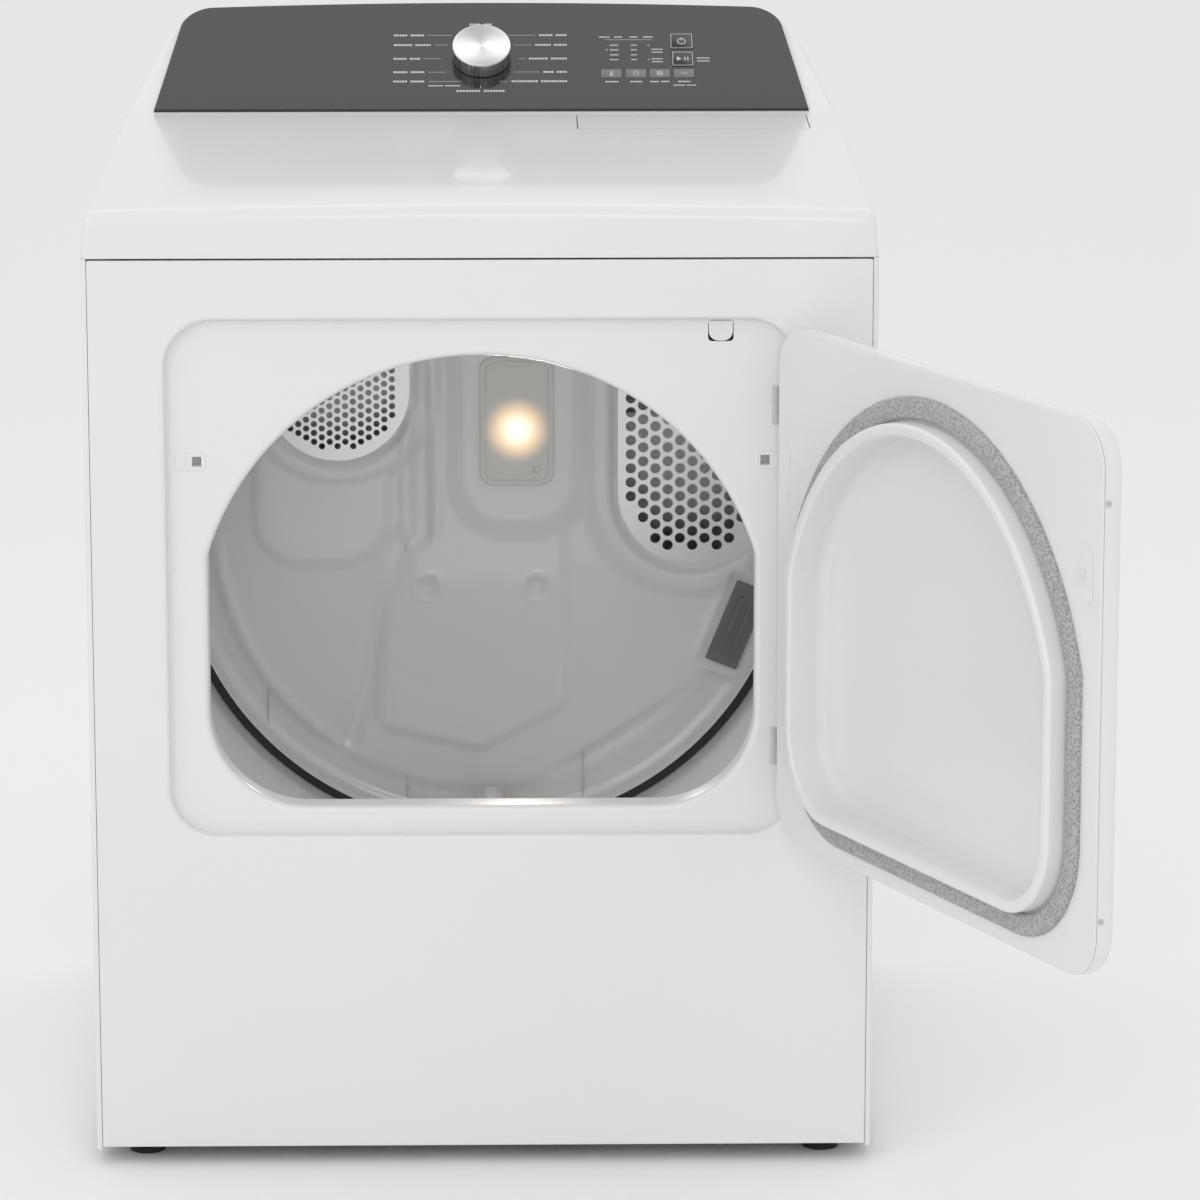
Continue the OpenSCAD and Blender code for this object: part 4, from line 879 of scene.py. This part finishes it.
bulkhead = {"d": 572, "x": 367.5, "low": 4, "high": 844, "pitch": 3, "boss": 8, "ringR": 316, "ringT": 2,
            "ringFront": 550, "grilleR": 304, "grilleTop": 705, "shaftX": 185, "shaftZ": 92, "shaftR": 8}
inlet = {"x": -150, "z": 633, "r": 68.5}
outlet = {"x": 216, "z": 525, "r": 71}
lampAt = {"x": 34.7, "z": 600.7, "halfW": 38, "halfH": 67, "d": 564, "r": 14, "holeHalfW": 24,
          "holeHalfH": 53, "glowX": 35, "glowZ": 592, "screwX": 20, "screwZ": -50, "screwD": 561.6}
pressed = {"inletRim": 7, "outletRim": 8, "pad": 5, "panel": 5, "valley": 7, "slot": 6, "slotX": -64,
           "fold": 6, "bead": 2.5, "dimple": 6, "dimpleZ": 426, "sensorTurn": -22, "sensorR": 283}


def ease(value, low, high):
    t = np.clip((value - low) / (high - low), 0, 1)
    return t * t * (3 - 2 * t)


def fromOutline(x, z, g):
    # distance outside a grille's outline: round below, straight sides above
    return np.where(z > g["z"], np.abs(x - g["x"]), np.hypot(x - g["x"], z - g["z"])) - g["r"]


def fromLine(x, z, a, b):
    # distance from the line between two points, and from its endless line, with a side
    ux, uz = b[0] - a[0], b[1] - a[1]
    length = math.hypot(ux, uz)
    along = np.clip(((x - a[0]) * ux + (z - a[1]) * uz) / length ** 2, 0, 1)
    away = np.hypot(x - a[0] - along * ux, z - a[1] - along * uz)
    side = ((x - a[0]) * uz - (z - a[1]) * ux) / length
    return away, side


def roundBox(x, z, cx, cz, halfW, halfH, r):
    qx, qz = np.abs(x - cx) - halfW + r, np.abs(z - cz) - halfH + r
    return np.hypot(np.maximum(qx, 0), np.maximum(qz, 0)) + np.minimum(np.maximum(qx, qz), 0) - r


def relief(x, z):
    # how far the pressed sheet stands towards the front, in millimetres
    radius = np.hypot(x, z - drum["z"])
    fromInlet, fromOutlet = fromOutline(x, z, inlet), fromOutline(x, z, outlet)
    h = pressed["inletRim"] * ease(fromInlet, 8, 16) * (1 - ease(fromInlet, 24, 40))
    h = np.maximum(h, pressed["outletRim"] * ease(fromOutlet, 8, 17) * (1 - ease(fromOutlet, 26, 46)))
    u = np.where(z < 540, np.hypot(np.maximum(np.abs(x - 36) - 12, 0), 540 - z) - 40, np.abs(x - 36) - 52)
    h = np.maximum(h, bulkhead["boss"] * (1 - ease(u, 0, 30)))
    # the pad on the left and the flat panel in the middle
    h = np.maximum(h, pressed["pad"] * (1 - ease(roundBox(x, z, -168, 530, 66, 78, 46), -4, 10)))
    left = fromLine(x, z, (-101, 279), (-5, 257))[1]
    right = fromLine(x, z, (-5, 257), (79, 302))[1]
    above = np.minimum(-left, -right)
    panelIn = ease(above, -12, 3) * ease(x, -118, -96) * (1 - ease(x, 76, 92)) * (1 - ease(z, 430, 520))
    h = h + pressed["panel"] * panelIn
    # the valley on the left, the slot beside the lamp and the fold on the right
    valley = fromLine(x, z, (-88, 470), (-142, 262))[0]
    h = h - pressed["valley"] * np.exp(-(valley / 15) ** 2)
    beside = np.abs(x - pressed["slotX"])
    h = h - pressed["slot"] * (1 - ease(beside, 4, 12)) * ease(z, 462, 480) * (1 - ease(z, 640, 690))
    h = h + pressed["bead"] * np.exp(-((beside - 17) / 5) ** 2) * ease(z, 470, 490) * (1 - ease(z, 650, 700))
    below = fromLine(x, z, (26, 204), (209, 319))[1]
    h = h - pressed["fold"] * ease(below, -3, 12) * ease(x, -20, 40) * (1 - ease(radius, 262, 285))
    h = h - 4 * ease(radius, 272, 290) * (1 - ease(z, 540, 600))
    bead = pressed["bead"] * np.exp(-((radius - 277) / 6) ** 2)
    h = h + bead * (1 - ease(z, 430, 500)) * (1 - ease(x, -150, -100))
    # two dimples with a raised rim
    for cx in (-58, 55):
        r = np.hypot(x - cx, z - pressed["dimpleZ"])
        h = h - pressed["dimple"] * (1 - ease(r, 3, 13)) + 1.6 * np.exp(-((r - 14) / 3) ** 2)
    # the groove round the moisture sensor
    turn = math.radians(pressed["sensorTurn"])
    sx = pressed["sensorR"] * math.cos(turn)
    sz = drum["z"] + pressed["sensorR"] * math.sin(turn)
    lx = (x - sx) * math.cos(turn) + (z - sz) * math.sin(turn)
    lz = -(x - sx) * math.sin(turn) + (z - sz) * math.cos(turn)
    groove = roundBox(lx, lz, 0, 0, 27, 54, 8)
    h = h * ease(groove, -6, 10) + 3 * np.exp(-(groove / 4) ** 2)
    calm = ease(fromInlet, 6, 12) * ease(fromOutlet, 6, 12) * (1 - ease(radius, 300, 311))
    return h * calm


leaveEdit()
across = int(2 * bulkhead["x"] / bulkhead["pitch"])
upward = int((bulkhead["high"] - bulkhead["low"]) / bulkhead["pitch"])
bpy.ops.mesh.primitive_grid_add(x_subdivisions=across, y_subdivisions=upward, size=1,
                                location=at(0, bulkhead["d"], (bulkhead["low"] + bulkhead["high"]) / 2),
                                rotation=(math.pi / 2, 0, 0))
sheetObj = bpy.context.object
sheetObj.scale = (2 * bulkhead["x"] * mm, (bulkhead["high"] - bulkhead["low"]) * mm, 1)
settle(sheetObj)
spots = np.empty(len(sheetObj.data.vertices) * 3)
sheetObj.data.vertices.foreach_get("co", spots)
spots = spots.reshape(-1, 3)
spots[:, 1] = front + (bulkhead["d"] - relief(spots[:, 0] / mm, spots[:, 2] / mm)) * mm
sheetObj.data.vertices.foreach_set("co", spots.ravel())


def isHole(face):
    c = face.calc_center_median()
    x, z = c.x / mm, c.z / mm
    low = z < bulkhead["grilleTop"] and math.hypot(x, z - drum["z"]) < bulkhead["grilleR"]
    grilles = low and any(float(fromOutline(x, z, g)) < 1 for g in (inlet, outlet))
    lampHole = abs(x - lampAt["x"]) < lampAt["holeHalfW"] and abs(z - lampAt["z"]) < lampAt["holeHalfH"]
    screenHole = x > 102 and z > 811
    shaftHole = math.hypot(x - bulkhead["shaftX"], z - bulkhead["shaftZ"]) < bulkhead["shaftR"]
    return grilles or lampHole or screenHole or shaftHole


edit(sheetObj, "FACE")
choose(sheetObj, faces=isHole)
bpy.ops.mesh.delete(type="FACE")
leaveEdit()
bpy.ops.mesh.primitive_cylinder_add(vertices=160, radius=bulkhead["ringR"] * mm, end_fill_type="NOTHING",
                                    depth=(bulkhead["d"] - bulkhead["ringFront"]) * mm,
                                    location=at(0, (bulkhead["d"] + bulkhead["ringFront"]) / 2, drum["z"]),
                                    rotation=(math.pi / 2, 0, 0))
ringObj = settle(bpy.context.object)
change(ringObj, "SOLIDIFY", thickness=bulkhead["ringT"] * mm, offset=-1)
sheetObj = join("rearBulkhead", [sheetObj, ringObj])
finishPiece(sheetObj, "cabinet", ["rear_bulkhead"], "bulkhead_enamel", 50)
print("bulkhead built")

# lamp cover
cover = addPlate("lampCover", lampAt["x"] - lampAt["halfW"], lampAt["x"] + lampAt["halfW"],
                 lampAt["z"] - lampAt["halfH"], lampAt["z"] + lampAt["halfH"], lampAt["d"], lampAt["r"], 8)
insetSteps([(0, 2)] + upEdge(1, 4) + [(4, 0), (0.6, -0.8), (0.8, 0), (0.5, 0.5)])
leaveEdit()
clip = addPlate("clip", lampAt["x"] - 14, lampAt["x"] + 14, lampAt["z"] + 58, lampAt["z"] + 63,
                lampAt["d"] - 2, 1, 3)
insetSteps([(0, 1.6)] + upEdge(0.6, 3))
leaveEdit()
bpy.ops.mesh.primitive_uv_sphere_add(segments=20, ring_count=10, radius=4 * mm,
                                     location=at(lampAt["x"] + lampAt["screwX"], lampAt["screwD"] - 0.1,
                                                 lampAt["z"] + lampAt["screwZ"]))
screw = settle(bpy.context.object)
edit(screw, everything=True)
bpy.ops.mesh.bisect(plane_co=at(0, lampAt["screwD"], 0), plane_no=(0, 1, 0), clear_outer=True, use_fill=True)
bpy.ops.mesh.select_all(action="SELECT")
bpy.ops.transform.resize(value=(1, 0.5, 1), center_override=at(
    lampAt["x"] + lampAt["screwX"], lampAt["screwD"], lampAt["z"] + lampAt["screwZ"]))
leaveEdit()
cover = join("lampCover", [cover, clip, screw])
lampPaint = coated("lampPlastic", (0.72, 0.72, 0.70), 0.25, 0.04, 0.3)
lx, lz = lampPaint.axes()[::2]
glowR = (((lx - lampAt["glowX"] * mm) ** 2) + ((lz - lampAt["glowZ"] * mm) ** 2)) ** 0.5
glow = 1 - glowR.rise(6 * mm, 38 * mm)
core = 1 - glowR.rise(2 * mm, 24 * mm)
lampPaint.set("Emission Strength", 1.0)
warm = lampPaint.mix(core, (1.0, 0.62, 0.26), (1.0, 0.93, 0.72))
lampPaint.set("Emission Color", lampPaint.mix(glow, (0, 0, 0), warm))
finishPiece(cover, "cabinet", ["lamp_lens"], "lamp_plastic", 35, lampPaint)
addSoftLight("lampGlow", at(lampAt["glowX"], 540, lampAt["glowZ"]), at(lampAt["glowX"], 200, 560),
             (0.06, 0.06), 0.45, (1.0, 0.95, 0.88))

# door switch lever and catches
tab = addPlate("doorSwitchLever", lever["x"] - lever["w"] / 2, lever["x"] + lever["w"] / 2, lever["low"],
               lever["high"] - 0.5, lever["d"], 0)
edit(tab)
choose(tab, verts=lambda v: v.co.z < 0.78)
bpy.ops.mesh.bevel(offset=lever["r"] * mm, segments=8, affect="VERTICES")
edit(tab, "FACE", True)
insetSteps([(0, lever["thick"])] + upEdge(lever["edge"], 4) + [(2.2, 0), (0.5, -0.4)])
leaveEdit()
bpy.ops.mesh.primitive_cylinder_add(vertices=20, radius=lever["pinR"] * mm, depth=lever["pinLength"] * mm,
                                    location=at(lever["x"], lever["pinD"], lever["pin"]),
                                    rotation=(0, math.pi / 2, 0))
pinObj = settle(bpy.context.object)
edit(pinObj, "EDGE")
choose(pinObj, edges=lambda e: near(e.verts[0].co.x, e.verts[1].co.x))
bpy.ops.mesh.bevel(offset=0.3 * mm, segments=2)
leaveEdit()
finishPiece(join("doorSwitchLever", [tab, pinObj]), "door_switch_lever", ["door_switch_lever"],
            "white_plastic", 35)

catchParts = []
for side in (-1, 1):
    middle, mouthX = side * catch["x"], side * catch["mouthX"]
    w, h = catch["w"] / 2, catch["h"] / 2
    body = addPlate("catchBody", middle - w, middle + w, catch["z"] - h, catch["z"] + h, 11, 3, 6)
    insetSteps([(0, 0.4)] + upEdge(0.6, 3) + [(0.4, 0)])
    openLast()
    leaveEdit()
    pocket = addPlate("catchPocket", mouthX - catch["mouthHalfW"], mouthX + catch["mouthHalfW"],
                      catch["z"] - catch["mouthHalfH"], catch["z"] + catch["mouthHalfH"], 10, 0.8, 3)
    insetSteps([(0.1, 0), (0.3, -0.5), (0, -catch["mouthDepth"])])
    leaveEdit()
    block = join("catchBody", [body, pocket])
    fillAt(block, lambda co: near(co.y, front + 10 * mm))
    bpy.ops.mesh.primitive_uv_sphere_add(segments=20, ring_count=10, radius=catch["screwR"] * mm,
                                         location=at(middle + side * catch["screwX"], 10, catch["z"]))
    head = settle(bpy.context.object)
    edit(head, everything=True)
    bpy.ops.transform.resize(value=(1, 0.35, 1), center_override=at(middle, 10, catch["z"]))
    leaveEdit()
    w, h = w - catch["boxGap"], h - catch["boxGap"]
    box = addPlate("catchBox", middle - w, middle + w, catch["z"] - h, catch["z"] + h, catch["boxD"], 0)
    insetSteps([(0, catch["box"])])
    openLast()
    leaveEdit()
    catchParts += [block, head, box]
finishPiece(join("doorCatches", catchParts), "cabinet", ["door_catch"], "white_plastic", 35)
print("lamp, lever and catches built")


# door

door = {"halfW": 290, "low": 310.5, "high": 795.5, "r": 42, "back": 3, "out": 17, "edge": 9, "plane": 5,
        "hingeX": 287.2, "hingeD": -6, "open": 115, "ridge": -15, "ridgeH": 20, "ridgeW": 12, "bowl": -12,
        "outerSheet": 1, "innerSheet": 1.8, "hingeZ": (390, 716), "notchR": 6.6, "notchH": 22.4,
        "ridgeR": 3.5, "bowlR": 12, "foot": 2.5, "innerEdge": 0.8, "crown": [(16, -0.6), (3, -0.8)]}
hinge = at(door["hingeX"], door["hingeD"], 0)
doorTurn = (Matrix.Translation(hinge) @ Matrix.Rotation(math.radians(door["open"]), 4, "Z")
            @ Matrix.Translation(-hinge))


def openDoor(obj):
    leaveEdit()
    obj.matrix_world = doorTurn @ obj.matrix_world
    return settle(obj)


def turnBack(obj):
    # the faces look to the rear, so that inset depths run towards the drum
    edit(obj, "FACE", True)
    bpy.ops.mesh.flip_normals()


skin = addPlate("doorOuter", -door["halfW"], door["halfW"], door["low"], door["high"],
                door["back"] - 0.5, door["r"], 14)
insetSteps([(0, door["back"] + door["out"] - door["edge"] - 0.5)] + upEdge(door["edge"], 8) + [(1, 0)])
leaveEdit()
change(skin, "SOLIDIFY", thickness=door["outerSheet"] * mm, offset=-1)
for z in door["hingeZ"]:
    leaveEdit()
    bpy.ops.mesh.primitive_cylinder_add(vertices=32, radius=door["notchR"] * mm, depth=door["notchH"] * mm,
                                        location=at(door["hingeX"], door["hingeD"], z))
    cutter = settle(bpy.context.object)
    change(skin, "BOOLEAN", object=cutter, operation="DIFFERENCE")
    bpy.data.objects.remove(cutter)
openDoor(skin)
finishPiece(skin, "door", ["door_outer_panel"], "white_enamel", 30)

plate = addPlate("doorInner", -door["halfW"], door["halfW"], door["low"], door["high"],
                 door["back"], door["r"], 14)
turnBack(plate)
insetSteps([(0, door["plane"] - door["back"] - door["innerEdge"])] + upEdge(door["innerEdge"], 3)
           + [(0.5, 0)])
openLast()
bowl = addOpening("doorBowl", door["ridge"] + 3, door["plane"])
turnBack(bowl)
bowlWall = door["ridgeH"] + door["plane"] - door["bowl"] - door["ridgeR"] - door["bowlR"]
insetSteps([(0.5, 0)] + fromFloor(door["foot"], 4) + [(0, door["ridgeH"] - door["foot"] - door["ridgeR"])]
           + upEdge(door["ridgeR"], 6) + [(door["ridgeW"] - 2 * door["ridgeR"], 0)]
           + overEdge(door["ridgeR"], 6) + [(1.5, -bowlWall)] + intoFloor(door["bowlR"], 7) + door["crown"])
inner = join("doorInner", [plate, bowl])
fillAt(inner, lambda co: near(co.y, front + door["plane"] * mm), (0, 1, 0))
change(inner, "SOLIDIFY", thickness=door["innerSheet"] * mm, offset=-1)
openDoor(inner)
finishPiece(inner, "door", ["door_inner_panel"], "white_plastic", 35)

sealShape = {"grow": 7.5, "side": 1.6, "edge": 3.6, "flat": 13}
seal = addOpening("doorSeal", sealShape["grow"], door["plane"])
turnBack(seal)
insetSteps([(0, sealShape["side"])] + upEdge(sealShape["edge"], 6) + [(sealShape["flat"], 0)]
           + overEdge(sealShape["edge"], 6) + [(0, -sealShape["side"])])
openLast()
openDoor(seal)
sealPaint = dull("gasketGrey", (0.36, 0.36, 0.365), 0.75, 500, 0.0004, 0.2)
weave = sealPaint.node("ShaderNodeTexVoronoi", {}, {"Vector": sealPaint.place(), "Scale": 420}, "Distance")
sealPaint.set("Base Color", sealPaint.mix(weave.rise(0.1, 0.7), (0.24, 0.24, 0.245), (0.46, 0.46, 0.465)))
sealPaint.bump(weave, 0.6, 0.0008)
finishPiece(seal, "door", ["door_seal"], "gasket_grey", 50, sealPaint)
print("door built")

leaveEdit()
